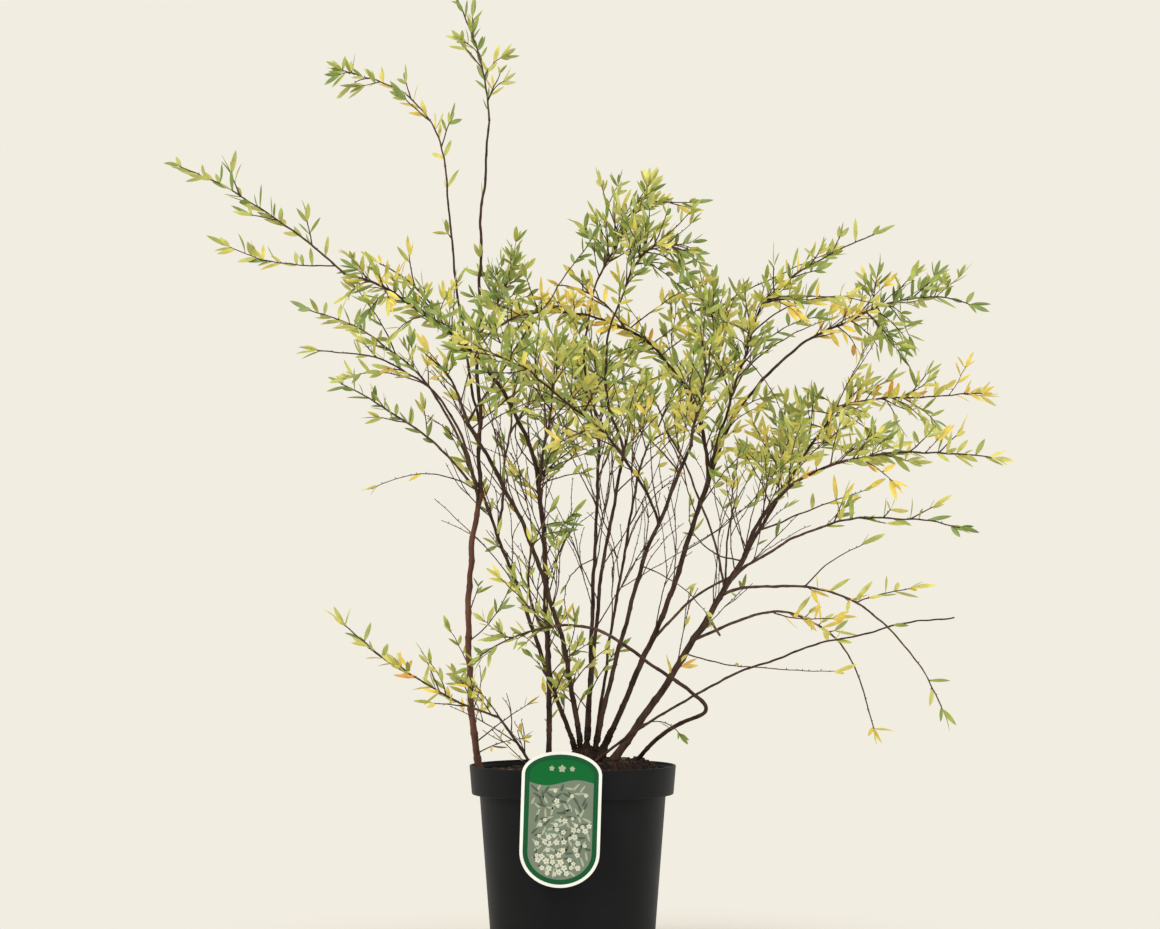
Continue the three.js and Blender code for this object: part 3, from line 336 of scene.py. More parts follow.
    ("east_middle_bough", (0.95, 190, 86, 40, "turning"), (0.86, 170, 80, 36, "yellow"),
     (0.98, 160, 54, 28, "turning")),
    ("leaning_stem", (1, 150, 12, 112, "fresh", 0.8, 0.45, 1, 2),
     (1, 40, 16, 104, "turning", 0.8, 0.5, 1, 2)),
    ("east_middle_bough", (0.35, 185, 26, 72, "fresh", 0.8, 0.3, 1, 2)),
    ("south_clump", (0.7, 20, 72, 36, "green"), (0.8, 340, 80, 32, "fresh")),
    ("great_arch", (0.36, 250, 102, 50, "green"), (0.42, 200, 112, 50, "fresh")),
    ("top_front_bough", (0.33, 90, 50, 46, "fresh")),
    ("east_inner_bough", (0.84, 200, 62, 36, "fresh"), (0.78, 240, 70, 34, "green")),
]
FINE_KEYS = ("at", "heading", "lean", "length", "tints", "radius", "bare", "full", "arch", "sway")
FINE_USUAL = dict(radius=0.7, bare=0.05, full=1, arch=3, sway=0)

# Short spurs with leaves on the limbs themselves: limb, from share, to share, one every so many mm, tints
LEAFY_LIMBS = [
    ("arching_west_bough", 0.36, 0.96, 3.8, "fresh"),
    ("great_arch", 0.12, 0.5, 16, "fresh"),
    ("great_arch", 0.5, 1, 4, "yellow"),
    ("west_crossing_bough", 0.1, 1, 14, "fresh"),
    ("east_high_bough", 0.8, 1, 6, "gold"),
    ("east_inner_bough", 0.35, 0.65, 9, "fresh"),
    ("east_inner_bough", 0.65, 1, 20, "fresh"),
    ("east_middle_bough", 0.6, 1, 11, "turning"),
    ("east_low_bough", 0.6, 1, 10, "yellow"),
    ("east_low_spray", 0, 0.45, 9, "turning"),
    ("top_back_bough", 0.2, 0.75, 60, "green"),
    ("top_front_bough", 0.25, 0.5, 7, "fresh"),
    ("top_front_bough", 0.7, 1, 9, "green"),
    ("diagonal_stem", 0.72, 1, 26, "green"),
    ("crossing_stem", 0.8, 1, 26, "turning"),
    ("second_leader", 0.55, 1, 50, "yellow"),
    ("tall_leader", 0.5, 1, 80, "turning"),
    ("leaning_stem", 0.42, 0.5, 9, "gold"),
    ("long_bare_stem", 0.7, 1, 50, "yellow"),
    ("low_west_spray", 0.1, 0.7, 11, "yellow"),
    ("weeping_front_shoot", 0.3, 0.5, 20, "yellow"),
    ("weeping_back_shoot", 0.38, 0.6, 9, "yellow"),
    ("low_inner_spray", 0.2, 0.6, 24, "fresh"),
]

# Thin side shoots by the same rule, with forks: on, from share, to share, one every so many mm, shortest,
# longest, forks, tints, share of nodes in leaf in the shade
SIDE_SHOOTS = [
    ("south_stem", 0.45, 1, 26, 80, 170, 2, "fresh", 0),
    ("crossing_stem", 0.5, 1, 34, 70, 150, 1, "fresh", 0),
    ("diagonal_stem", 0.35, 1, 30, 70, 160, 2, "green", 0),
    ("middle_stem", 0.42, 1, 36, 80, 190, 2, "fresh", 0),
    ("inner_stem", 0.42, 1, 36, 80, 190, 2, "fresh", 0),
    ("slender_stem", 0.42, 0.92, 40, 80, 180, 2, "fresh", 0),
    ("east_inner_stem", 0.45, 0.92, 58, 70, 140, 2, "fresh", 0),
    ("east_stem", 0.45, 1, 52, 80, 160, 2, "fresh", 0),
    ("leaning_stem", 0.45, 1, 26, 70, 170, 2, "fresh", 0.1),
    ("west_crossing_bough", 0.1, 0.9, 26, 50, 110, 1, "fresh", 0),
    ("great_arch", 0.05, 0.6, 26, 50, 110, 1, "fresh", 0),
    ("east_high_bough", 0.78, 1, 10, 28, 60, 0, "yellow", 1),
    ("far_east_spray", 0, 0.35, 14, 25, 50, 0, "green", 1),
    ("north_east_spray", 0, 0.4, 34, 20, 34, 0, "fresh", 1),
    ("east_inner_bough", 0.5, 1, 17, 35, 62, 1, "fresh", 1),
    ("east_middle_bough", 0.05, 1, 31, 50, 110, 2, "turning", 0.3),
    ("east_middle_spray", 0, 0.5, 26, 24, 44, 0, "turning", 1),
    ("east_low_bough", 0.05, 1, 28, 50, 100, 1, "turning", 0.3),
    ("middle_back_spray", 0, 0.3, 60, 50, 110, 1, "fresh", 0),
    ("middle_front_spray", 0, 0.6, 30, 50, 110, 1, "fresh", 0),
    ("north_spray", 0, 0.6, 30, 50, 110, 1, "fresh", 0),
    ("west_back_spray", 0, 0.6, 40, 50, 110, 1, "fresh", 0),
    ("arching_west_bough", 0.42, 0.93, 9, 16, 38, 0, "fresh", 1),
    ("top_front_bough", 0.84, 1, 6, 35, 60, 1, "fresh", 1),
    ("top_back_bough", 0.84, 1, 5, 35, 60, 1, "fresh", 1),
    ("low_west_stem", 0.05, 1, 11, 40, 90, 1, "turning", 0.1),
    ("south_stem", 0.1, 0.5, 24, 30, 65, 0, "turning", 0.8),
    ("west_stem", 0.1, 0.6, 50, 30, 70, 0, "fresh", 0.5),
    ("diagonal_stem", 0.1, 0.35, 16, 30, 60, 0, "fresh", 0.8),
    ("crossing_stem", 0.15, 0.4, 18, 30, 60, 0, "fresh", 0.8),
]


# ---------- small helpers ----------
def unit(v):
    return v / np.linalg.norm(v)


def cross(a, b):
    return np.array((a[1] * b[2] - a[2] * b[1], a[2] * b[0] - a[0] * b[2], a[0] * b[1] - a[1] * b[0]))


def square_to(way, wanted):
    return unit(wanted - way * float(wanted @ way))


def between(ends, share):
    low, high = ends
    return low + (high - low) * share


def held(share):
    return min(max(share, 0), 1)


def circle(radius, count, x=0, y=0):
    """Points evenly round a circle."""
    turns = [WHOLE_TURN * k / count for k in range(count)]
    return [(x + radius * math.cos(turn), y + radius * math.sin(turn)) for turn in turns]


def named(keys, values, **usual):
    """A row of a table, with what is usual where the row says nothing."""
    return Values(**(usual | dict(zip(keys, values))))


def seeded_random(seed):
    """Numbers from 0 to 1, always the same for the same seed, and the same as in the part's source."""
    whole = 0xFFFFFFFF
    state = seed & whole

    def draw():
        nonlocal state
        state = (state + 0x6D2B79F5) & whole
        mixed = ((state ^ (state >> 15)) * (state | 1)) & whole
        mixed ^= (mixed + (mixed ^ (mixed >> 7)) * (mixed | 61)) & whole
        return (mixed ^ (mixed >> 14)) / (whole + 1)

    return draw


def linear(rgb):
    """A colour given as seen, 0 to 255, as the linear numbers that a shader takes."""
    def channel(value):
        share = value / 255
        return share / 12.92 if share <= 0.04045 else ((share + 0.055) / 1.055) ** 2.4

    return (*[channel(v) for v in rgb], 1)


# ---------- meshes ----------
class Shape:
    """Points in millimetres and faces, gathered from many small pieces."""

    def __init__(self):
        self.points = []
        self.faces = []
        self.count = 0

    def add(self, points, faces):
        self.add_many(np.asarray(points, float)[None], faces)

    def add_many(self, points, faces):
        """points: (pieces, corners, 3), all with the same faces."""
        pieces, corners, _ = points.shape
        for k in range(pieces):
            start = self.count + k * corners
            self.faces += [[i + start for i in face] for face in faces]
        self.points.append(points.reshape(-1, 3))
        self.count += pieces * corners

    def add_prism(self, back, front):
        """A solid between two like outlines, which run anticlockwise as seen from the front."""
        n = len(back)
        sides = [(k, (k + 1) % n, (k + 1) % n + n, k + n) for k in range(n)]
        self.add([*back, *front], [tuple(reversed(range(n))), tuple(range(n, 2 * n)), *sides])

    def mesh(self, name):
        made = bpy.data.meshes.new(name)
        made.from_pydata((np.concatenate(self.points) * MM).tolist(), [], self.faces)
        made.validate()
        return made


def bands(rings, sides):
    """The faces between neighbouring rings of points, which follow each other."""
    corners = [(i * sides + k, i * sides + (k + 1) % sides) for i in range(rings - 1) for k in range(sides)]
    return [(a, b, b + sides, a + sides) for a, b in corners]


def add_object(name, data):
    made = bpy.data.objects.new(name, data)
    bpy.context.scene.collection.objects.link(made)
    return made


def shaped_by_modifiers(blank):
    """The mesh of a blank with its modifiers applied. The blank goes."""
    mesh = bpy.data.meshes.new_from_object(blank.evaluated_get(bpy.context.evaluated_depsgraph_get()))
    bpy.data.objects.remove(blank)
    return mesh


def piece(name, shape, material, nodes, smooth=True):
    """Makes a shape a visible piece of the object that stands for these CAD nodes."""
    mesh = shape.mesh(name) if isinstance(shape, Shape) else shape
    made = add_object(name, mesh)
    mesh.materials.append(material)
    mesh.polygons.foreach_set("use_smooth", [smooth] * len(mesh.polygons))
    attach(made, "root")
    if nodes:
        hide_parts(*nodes)
    return made


# ---------- materials ----------
TONE_ENDS = (0.32, 0.68)  # of the noise, where a colour is wholly the one tone or the other
BUMP_DETAIL = 4


def new_material(name):
    made = bpy.data.materials.new(name)
    made.use_nodes = True
    return made, made.node_tree


def add_node(tree, kind, inputs=()):
    made = tree.nodes.new("ShaderNode" + kind)
    for name, value in dict(inputs).items():
        made.inputs[name].default_value = value
    return made


def finish_of(name, tones, rough, patch, bump, detail=6, stretch=(1, 1, 1), gloss=0.5):
    """A material whose colour wanders between two tones, with its roughness, over patches this many mm wide,
    and with bumps (height mm, width mm)."""
    made, tree = new_material(name)
    link = tree.links.new
    shader = tree.nodes["Principled BSDF"]
    shader.inputs["Specular IOR Level"].default_value = gloss
    place = add_node(tree, "TexCoord")
    mapping = add_node(tree, "Mapping", {"Scale": stretch})
    link(place.outputs["Object"], mapping.inputs["Vector"])

    def patches(width, fineness):
        cloud = add_node(tree, "TexNoise", {"Scale": 1 / (width * MM), "Detail": fineness})
        link(mapping.outputs["Vector"], cloud.inputs["Vector"])
        return cloud.outputs["Fac"]

    wander = patches(patch, detail)
    ramp = add_node(tree, "ValToRGB")
    for stop, at, tone in zip(ramp.color_ramp.elements, TONE_ENDS, tones):
        stop.position = at
        stop.color = linear(tone)
    link(wander, ramp.inputs["Fac"])
    link(ramp.outputs["Color"], shader.inputs["Base Color"])
    spread = add_node(tree, "MapRange", {"To Min": rough[0], "To Max": rough[1]})
    link(wander, spread.inputs["Value"])
    link(spread.outputs["Result"], shader.inputs["Roughness"])
    height, width = bump
    relief = add_node(tree, "Bump", {"Strength": 1, "Distance": height * MM})
    link(patches(width, BUMP_DETAIL), relief.inputs["Height"])
    link(relief.outputs["Normal"], shader.inputs["Normal"])
    return made


def tones_round(rgb, share):
    """Two tones that lie this share below and above a colour."""
    return [tuple(v * (1 - share) for v in rgb), tuple(min(255, v * (1 + share)) for v in rgb)]


# ---------- curves ----------
class Curve:
    """The arching curve of a limb, with a frame along it."""

    STRAIGHT = 1  # twice the area that a curve spans, in square mm, under which it is taken as straight
    STEPS = 32  # in which its length is measured

    def __init__(self, foot, pull, tip):
        self.foot, self.pull, self.tip = foot, pull, tip
        chord = tip - foot
        edge = cross(pull - foot, chord)
        if np.linalg.norm(edge) < self.STRAIGHT:
            edge = cross((1, 0, 0), chord)
        self.edge = unit(edge)
        steps = np.diff([self.point(t) for t in np.linspace(0, 1, self.STEPS + 1)], axis=0)
        self.length = float(np.linalg.norm(steps, axis=1).sum())

    def point(self, t):
        u = 1 - t
        return u * u * self.foot + 2 * u * t * self.pull + t * t * self.tip

    def frame(self, t):
        """Its direction at t, and two directions square to it."""
        t = held(t)
        along = unit((1 - t) * (self.pull - self.foot) + t * (self.tip - self.pull))
        return along, cross(along, self.edge), self.edge


def limb_curve(foot, row):
    heading, lean = math.radians(row.heading), math.radians(row.lean)
    along = np.array((math.sin(lean) * math.cos(heading), math.sin(lean) * math.sin(heading), math.cos(lean)))
    left = np.array((-math.sin(heading), math.cos(heading), 0))
    above = cross(along, left)
    tip = foot + along * row.length
    pull = (foot + tip) / 2 + above * 2 * row.arch + left * 2 * row.sway
    return Curve(foot, pull, tip)


def leaning_out(at, spin, lean, lift):
    """The direction that leans out of a curve at the turn "spin", lifted towards the light."""
    along, side, edge = at
    angle = math.radians(lean)
    out = side * (math.cos(spin) * math.sin(angle)) + edge * (math.sin(spin) * math.sin(angle))
    return unit(along * math.cos(angle) + out + UP * lift)


# ---------- room ----------
class Rods:
    """Straight stretches of what has been placed, to keep what comes next clear of them."""

    PARALLEL = 1e-9

    def __init__(self, most):
        self.a, self.b = np.zeros((most, 3)), np.zeros((most, 3))
        self.r = np.zeros(most)
        self.owner = np.zeros(most, int)
        self.leaf = np.zeros(most, bool)
        self.count = 0
        self.owners = {}

    def number(self, owner):
        return self.owners.setdefault(owner, len(self.owners))

    def add(self, a, b, r, owner, leaf=False):
        i = self.count
        self.a[i], self.b[i], self.r[i] = a, b, r
        self.owner[i], self.leaf[i] = self.number(owner), leaf
        self.count += 1

    def distances(self, a, b):
        n = self.count
        u, v, w = b - a, self.b[:n] - self.a[:n], a - self.a[:n]
        uu, uv, vv = u @ u, v @ u, (v * v).sum(1)
        uw, vw = w @ u, (w * v).sum(1)
        square = uu * vv - uv * uv
        crossing = square > self.PARALLEL
        s = np.where(crossing, np.clip((uv * vw - uw * vv) / np.where(crossing, square, 1), 0, 1), 0)
        t = np.clip((uv * s + vw) / vv, 0, 1)
        s = np.clip((uv * t - uw) / uu, 0, 1)
        return np.linalg.norm(a + s[:, None] * u - self.a[:n] - t[:, None] * v, axis=1)

    def clear(self, a, b, r, owner, crowding):
        """Whether a stretch has room. An owner's leaves may crowd each other, and its wood doesn't count."""
        n = self.count
        own = self.owner[:n] == self.number(owner)
        room = (r + self.r[:n] + 2 * GAP) * np.where(own, crowding, 1)
        return bool(np.all((own & ~self.leaf[:n]) | (self.distances(a, b) > room)))

    def add_path(self, curve, base, end, owner, start=0.0, stop=1.0, pieces=12):
        at = [start + (stop - start) * i / pieces for i in range(pieces + 1)]
        for s, t in zip(at, at[1:]):
            self.add(curve.point(s), curve.point(t), base + (end - base) * s, owner)


# ---------- the plant's skeleton, by the same rule as the solids ----------
STUB_STEP = 0.002  # of a stem, by which its start moves up to the top of its stub
limbs = {}
coarse = Rods(12000)


def foot_of(row):
    if row.on == "soil":
        away = math.hypot(row.at[0] - SOIL.centre[0], row.at[1] - SOIL.centre[1])
        return np.array((*row.at, (SOIL.mound if away < SOIL.top else SOIL.level) + GAP), float)
    if row.on == "crown":
        return np.array((*row.at, SOIL.mound + CROWN.foot_rise), float)
    return limbs[row.on].curve.point(row.at)


def grow_limb(values):
    limb = named(LIMB_KEYS, values, start=0.0)
    limb.curve = limb_curve(foot_of(limb), limb)
    while limb.on == "crown" and limb.curve.point(limb.start)[2] < CROWN.stub_top:
        limb.start += STUB_STEP
    limbs[limb.name] = limb
    coarse.add_path(limb.curve, limb.base, limb.end, limb.name, limb.start)


def make_arm(curve, base, end, bare, kind):
    stop = max(1 - COARSE_TIP.share * COARSE_LEAF.length / curve.length, SHORTEST_ARM)
    return Values(curve=curve, base=base, end=end, bare=min(bare, stop), stop=stop, kind=kind)


def main_arms(mass):
    """The stem of a mass, and a second arm where it has one."""
    base = min(limbs[mass.on].end, STEM.thickest)
    stem = make_arm(limb_curve(foot_of(mass), mass), base, STEM.end, mass.bare, "stem")
    rows = [named(SECOND_ARM_KEYS, values) for values in SECOND_ARMS]
    curves = [limb_curve(stem.curve.point(row.at), row) for row in rows if row.mass == mass.name]
    return [stem] + [make_arm(curve, TWIG.base, TWIG.end, SECOND_ARM_BARE, "twig") for curve in curves]


def twig_arms(mass, stem, random):
    """Twigs leave the stem by the golden angle, and are shorter towards its tip."""
    arms = []
    spacing = (stem.stop - mass.bare) / (mass.twigs + TWIG.first + TWIG.past)
    for i in range(mass.twigs):
        t = mass.bare + spacing * (i + TWIG.first)
        start = stem.curve.point(t)
        for attempt in range(TWIG.tries):
            spin = (i + attempt * TWIG.next_try) * GOLDEN_ANGLE + random() * TWIG.turn
            way = leaning_out(stem.curve.frame(t), spin, between(TWIG.lean, random()), TWIG.lift)
            reach = mass.spread * (TWIG.reach_at_foot - TWIG.reach_lost * t)
            end = start + way * reach * between(TWIG.reach, random())
            root = start + (end - start) * TWIG.clear_from
            if coarse.clear(root, end, TWIG.base, mass.name, COARSE_LEAF.crowding):
                straight = Curve(start, (start + end) / 2, end)
                arms.append(make_arm(straight, TWIG.base, TWIG.end, TWIG.bare, "twig"))
                coarse.add(root, end, TWIG.base, mass.name)
                break
    return arms


def coarse_leaves(arm, owner, random):
    """The places of the solids' leaves."""
    made = []
    curve, rule = arm.curve, COARSE_LEAF
    leafy = arm.stop - arm.bare
    count = max(1, round(curve.length * leafy / rule.spacing))
    spacing = leafy / (count + rule.first + rule.past)
    turn = random() * WHOLE_TURN
    for i in range(count + 1):
        stance = COARSE_TIP if i == count else rule
        t = arm.bare + spacing * (i + rule.first)
        root, at = curve.point(t), curve.frame(t)
        length = rule.length * between(rule.lengths, random())
        width = rule.width * between(rule.widths, random())
        for attempt in range(rule.tries):
            turn += rule.next_try if attempt else GOLDEN_ANGLE
            way = leaning_out(at, turn, stance.lean, stance.lift)
            a, b = (root + way * length * share for share in rule.clear)
            if coarse.clear(a, b, width / 2, owner, rule.crowding):
                coarse.add(a, b, width / 2, owner, leaf=True)
                made.append(Values(root=root, way=way, length=length, at=at))
                break
    return made


for values in LIMBS:
    grow_limb(values)
masses = [named(MASS_KEYS, values, shade=1) for values in MASSES]
mass_names = [mass.name for mass in masses]
for mass in masses:
    mass.arms = main_arms(mass)
    for arm in mass.arms:
        coarse.add_path(arm.curve, STEM.end, STEM.end, mass.name, 0, arm.stop)
for index, mass in enumerate(masses):
    random = seeded_random(FIRST_SEED + index)
    mass.arms += twig_arms(mass, mass.arms[0], random)
    for arm in mass.arms:
        arm.tufts = coarse_leaves(arm, mass.name, random)

# ---------- finer growth: side shoots, twiglets and leaves ----------
NODE = Values(spacing=9.2, first=(0.2, 0.8), loose=(0.65, 1.35), second=0.3, third=0.07,
              fan=1.35, fans=(0.7, 1.3))
LEAF = Values(length=24.5, width=5.5, lengths=(0.66, 1.18), widths=(0.74, 1.12), curl=(-0.06, 0.13),
              twist=0.9)
LEAF_LEAN = Values(base=48, rise=22, loose=(-12, 12), lift=0.22)  # steeper above a shoot than under it
LEAF_FACES_UP = 0.55  # against a turn to any side
LEAF_INSIDE = Values(size=0.84, within=90, beyond=300)  # leaves are smaller near the pot's axis
LEAF_ROOM = Values(clear=(0.25, 0.95), half=0.42, crowding=0.42, tries=3, next_try=0.8)
TIP_FAN = ((6, 1.0), (20, 0.9), (32, 0.74))  # lean and size of the leaves at a tip
# At a shoot's tip. Nodes end "room" mm from it on the solids' arms, and at the share "last" on other shoots.
TIP = Values(lift=0.08, loose=(0.8, 1.2), apart=2, room=12, last=0.97)
TWIGLET = Values(base=0.5, end=0.3, reach=(0.5, 1.15), sag=0.05, bare=0.12, spacing=8.5, full=0.92, size=0.9)
SPUR = Values(base=0.7, end=0.45, length=(2, 8), leans=(24, 52), share=0.4, third=0.5, every=(0.6, 1.4))
EXTRA_TWIG = Values(base=0.6, end=0.34, lean=(32, 62), lift=0.3, reach=(0.5, 0.95), reach_lost=0.4, bare=0.15,
                    bow=(-0.03, 0.06), on_stem=0.5)
SIDE_SHOOT = Values(
    base=0.72, end=0.36, lean=(18, 44), lift=0.3, bend=0.16, sag=0.04, bare=0.15, full=0.8, last=0.98,
    size=0.88, every=(0.6, 1.4), fork=(0.25, 0.7), fork_reach=(0.7, 1.2), fork_base=0.8,
)
SHOOT_END = 0.42  # radius of the tip of a shoot with leaves
SHOOT_TAPER = 0.8  # of one without
LEAFY_FROM, LEAFY_AT = 545, 655  # heights between which the inner shoots come into leaf, at the pot's axis
LEAFY_FALL = 0.35  # and how much lower that is for each mm to the east

PAST_BOX = 3  # how far a leaf may reach past the solids' box
REACH = (np.array(cad_box[0]) / MM - PAST_BOX, np.array(cad_box[1]) / MM + PAST_BOX)
SHORTEST, SHORTENED = 6, 0.85  # reach of a shoot, and how it is brought inside
fine = Rods(40000)
leaves = {name: [] for name in TINTS}  # root, way, face, length, width, curl and twist of each
leaf_owners = {name: set() for name in TINTS}
wood = []  # curve, base radius, end radius
buds = []  # root and way of each


def outside(place):
    return np.any(place < REACH[0]) or np.any(place > REACH[1])


def kept_in_reach(start, way, reach):
    """Shortens a shoot that would grow out of the solids' box."""
    while reach > SHORTEST and outside(start + way * reach):
        reach *= SHORTENED
    return reach


def pick_tint(palette, random):
    shares = TINT_SHARES[palette]
    place = random() * sum(shares)
    for k, share in enumerate(shares):
        place -= share
        if place < 0:
            return k
    return len(shares) - 1


def near_tint(tint, random):
    """Mostly the spray's own tint, and sometimes the next one."""
    turn = random()
    step = -1 if turn < NEXT_TINT else 1 if turn > 1 - NEXT_TINT else 0
    last = len(TINTS) - 1
    if tint + step == last and random() > RARE_TINT:
        return last - 1
    return min(max(tint + step, 0), last)


def leaf_way(at, spin, random):
    """Leaves above a shoot stand up steeply, and those under it lie along it."""
    along, side, edge = at
    out = side * math.cos(spin) + edge * math.sin(spin)
    rise = out[2]
    angle = math.radians(LEAF_LEAN.base + LEAF_LEAN.rise * rise + between(LEAF_LEAN.loose, random()))
    return unit(along * math.cos(angle) + out * math.sin(angle) + UP * (LEAF_LEAN.lift if rise > 0 else 0))


def put_leaf(root, way, owner, tint, random, size=1.0):
    """Makes a leaf, unless it would touch what is there."""
    out = (math.hypot(root[0], root[1]) - LEAF_INSIDE.within) / (LEAF_INSIDE.beyond - LEAF_INSIDE.within)
    size *= LEAF_INSIDE.size + (1 - LEAF_INSIDE.size) * held(out)
    length = LEAF.length * size * between(LEAF.lengths, random())
    width = LEAF.width * between(LEAF.widths, random()) * (0.5 + 0.5 * size)
    half = width * LEAF_ROOM.half
    a, b = (root + way * length * share for share in LEAF_ROOM.clear)
    if outside(b) or not fine.clear(a, b, half, owner, LEAF_ROOM.crowding):
        return False
    fine.add(a, b, half, owner, leaf=True)
    look = random() * WHOLE_TURN
    face = square_to(way, UP * LEAF_FACES_UP + np.array((math.cos(look), math.sin(look), 0)))
    name = list(TINTS)[near_tint(tint, random)]
    curl = between(LEAF.curl, random())
    twist = LEAF.twist * (random() - 0.5)
    leaves[name].append((root, way, face, length, width, curl, twist))
    leaf_owners[name].add(owner)
    return True


def grow_node(root, at, turn, owner, tint, random, size=1.0):
    """One to three leaves side by side, with a bud."""
    buds.append((root, leaf_way(at, turn, random)))
    count = 1 + (random() < NODE.second) + (random() < NODE.third)
    for k in range(count):
        spin = turn + (k - (count - 1) / 2) * NODE.fan * between(NODE.fans, random())
        for attempt in range(LEAF_ROOM.tries):
            way = leaf_way(at, spin + attempt * LEAF_ROOM.next_try, random)
            if put_leaf(root, way, owner, tint, random, size):
                break


def grow_tip(curve, stop, owner, tint, random, size):
    """A small fan of leaves, one close behind the other."""
    turn = random() * WHOLE_TURN
    at = curve.frame(stop)
    for k, (lean, share) in enumerate(TIP_FAN):
        way = leaning_out(at, turn + k * GOLDEN_ANGLE, lean * between(TIP.loose, random()), TIP.lift)
        put_leaf(curve.point(stop) - at[0] * k * TIP.apart, way, owner, tint, random, size * share)


def light_at(place, shade):
    """The share of nodes in leaf, which falls to "shade" low down inside the crown."""
    share = held((place[2] + place[0] * LEAFY_FALL - LEAFY_FROM) / (LEAFY_AT - LEAFY_FROM))
    return max(shade, share * share * (3 - 2 * share))


def steps(at, stop, every, loose, random):
    """Places from "at" to "stop", one "every" so many mm, give or take."""
    while at < stop:
        yield at
        at += every * between(loose, random())


def grow_leaves(curve, bare, stop, owner, tint, full, random, spacing=NODE.spacing, size=1.0, shade=1.0):
    """Leaves at the nodes of a shoot and a fan at its tip; where a node has no leaf it has a bud."""
    turn = random() * WHOLE_TURN
    first = bare * curve.length + spacing * between(NODE.first, random())
    for at in steps(first, stop * curve.length, spacing, NODE.loose, random):
        share = at / curve.length
        root = curve.point(share)
        turn += GOLDEN_ANGLE
        if random() < full * light_at(root, shade):
            grow_node(root, curve.frame(share), turn, owner, tint, random, size)
        else:
            buds.append((root, leaf_way(curve.frame(share), turn, random)))
    if random() < light_at(curve.point(stop), shade):
        grow_tip(curve, stop, owner, tint, random, size)


def grow_twiglet(tuft, mass, tint, random):
    """A short side shoot where the solids have one broad leaf."""
    if random() > mass.leafy * light_at(tuft.root, mass.shade):
        return
    if random() > mass.full:
        grow_node(tuft.root, tuft.at, random() * WHOLE_TURN, mass.name, tint, random)
        return
    reach = kept_in_reach(tuft.root, tuft.way, tuft.length * between(TWIGLET.reach, random()))
    pull = tuft.root + tuft.way * reach * 0.5 - UP * reach * TWIGLET.sag
    curve = Curve(tuft.root, pull, tuft.root + tuft.way * reach)
    wood.append((curve, TWIGLET.base, TWIGLET.end))
    grow_leaves(curve, TWIGLET.bare, TIP.last, mass.name, tint, TWIGLET.full, random, TWIGLET.spacing,
                TWIGLET.size)


def grow_spur(curve, share, turn, radius, owner, tint, random):
    """A short spur on a limb, with two or three leaves."""
    root = curve.point(share)
    way = leaf_way(curve.frame(share), turn, random)
    tip = root + way * (radius + between(SPUR.length, random()))
    spur = Curve(root, (root + tip) / 2, tip)
    wood.append((spur, SPUR.base, SPUR.end))
    for k in range(2 + (random() < SPUR.third)):
        leaf = leaning_out(spur.frame(1), turn + k * WHOLE_TURN / 3, between(SPUR.leans, random()), TIP.lift)
        put_leaf(tip, leaf, owner, tint, random)


def grow_extra_twig(mass, random):
    """A finer twig between the solids' ones."""
    parent = mass.arms[0]
    if random() < 1 - EXTRA_TWIG.on_stem:
        parent = mass.arms[int(random() * len(mass.arms))]
    share = between((parent.bare, parent.stop), random())
    start = parent.curve.point(share)
    for _ in range(TWIG.tries):
        lean = between(EXTRA_TWIG.lean, random())
        way = leaning_out(parent.curve.frame(share), random() * WHOLE_TURN, lean, EXTRA_TWIG.lift)
        reach = mass.spread * (1 - EXTRA_TWIG.reach_lost * share) * between(EXTRA_TWIG.reach, random())
        reach = kept_in_reach(start, way, reach)
        end = start + way * reach
        root = start + way * reach * TWIG.clear_from
        if fine.clear(root, end, EXTRA_TWIG.base, mass.name, LEAF_ROOM.crowding):
            curve = Curve(start, (start + end) / 2 + UP * reach * between(EXTRA_TWIG.bow, random()), end)
            wood.append((curve, EXTRA_TWIG.base, EXTRA_TWIG.end))
            fine.add(root, end, EXTRA_TWIG.base, mass.name)
            tint = pick_tint(mass.tints, random)
            grow_leaves(curve, EXTRA_TWIG.bare, TIP.last, mass.name, tint, mass.leafy, random,
                        shade=mass.shade)
            return


def grow_side_shoot(curve, share, turn, reach, radius, owner, tint, random, forks, shade):
    """A thin shoot that leans out of a limb, with forks of its own."""
    way = leaning_out(curve.frame(share), turn, between(SIDE_SHOOT.lean, random()), SIDE_SHOOT.lift)
    start = curve.point(share)
    reach = kept_in_reach(start, way, reach)
    bend = unit(np.array([random() - 0.5, random() - 0.5, random() - 0.3])) * reach * SIDE_SHOOT.bend
    shoot = Curve(start, start + way * reach * 0.5 + bend, start + way * reach - UP * reach * SIDE_SHOOT.sag)
    end = min(SIDE_SHOOT.end, radius)
    wood.append((shoot, radius, end))
    fine.add_path(shoot, radius, end, owner, pieces=4)
    grow_leaves(shoot, SIDE_SHOOT.bare, SIDE_SHOOT.last, owner, tint, SIDE_SHOOT.full, random,
                size=SIDE_SHOOT.size, shade=shade)
    for k in range(forks):
        at = between(SIDE_SHOOT.fork, random())
        spin = turn + GOLDEN_ANGLE * (k + 1) + random()
        length = reach * (1 - at) * between(SIDE_SHOOT.fork_reach, random())
        base = radius * SIDE_SHOOT.fork_base
        grow_side_shoot(shoot, at, spin, length, base, owner, tint, random, 0, shade)


for limb in limbs.values():
    fine.add_path(limb.curve, limb.base, limb.end, limb.name, limb.start)
for mass in masses:
    for arm in mass.arms:
        fine.add_path(arm.curve, arm.base, arm.end, mass.name)
# The limbs, and the stems of the masses, that the tables name: curve and radii.
bearers = {mass.name: Values(curve=mass.arms[0].curve, base=STEM.end, end=STEM.end) for mass in masses}
bearers |= limbs


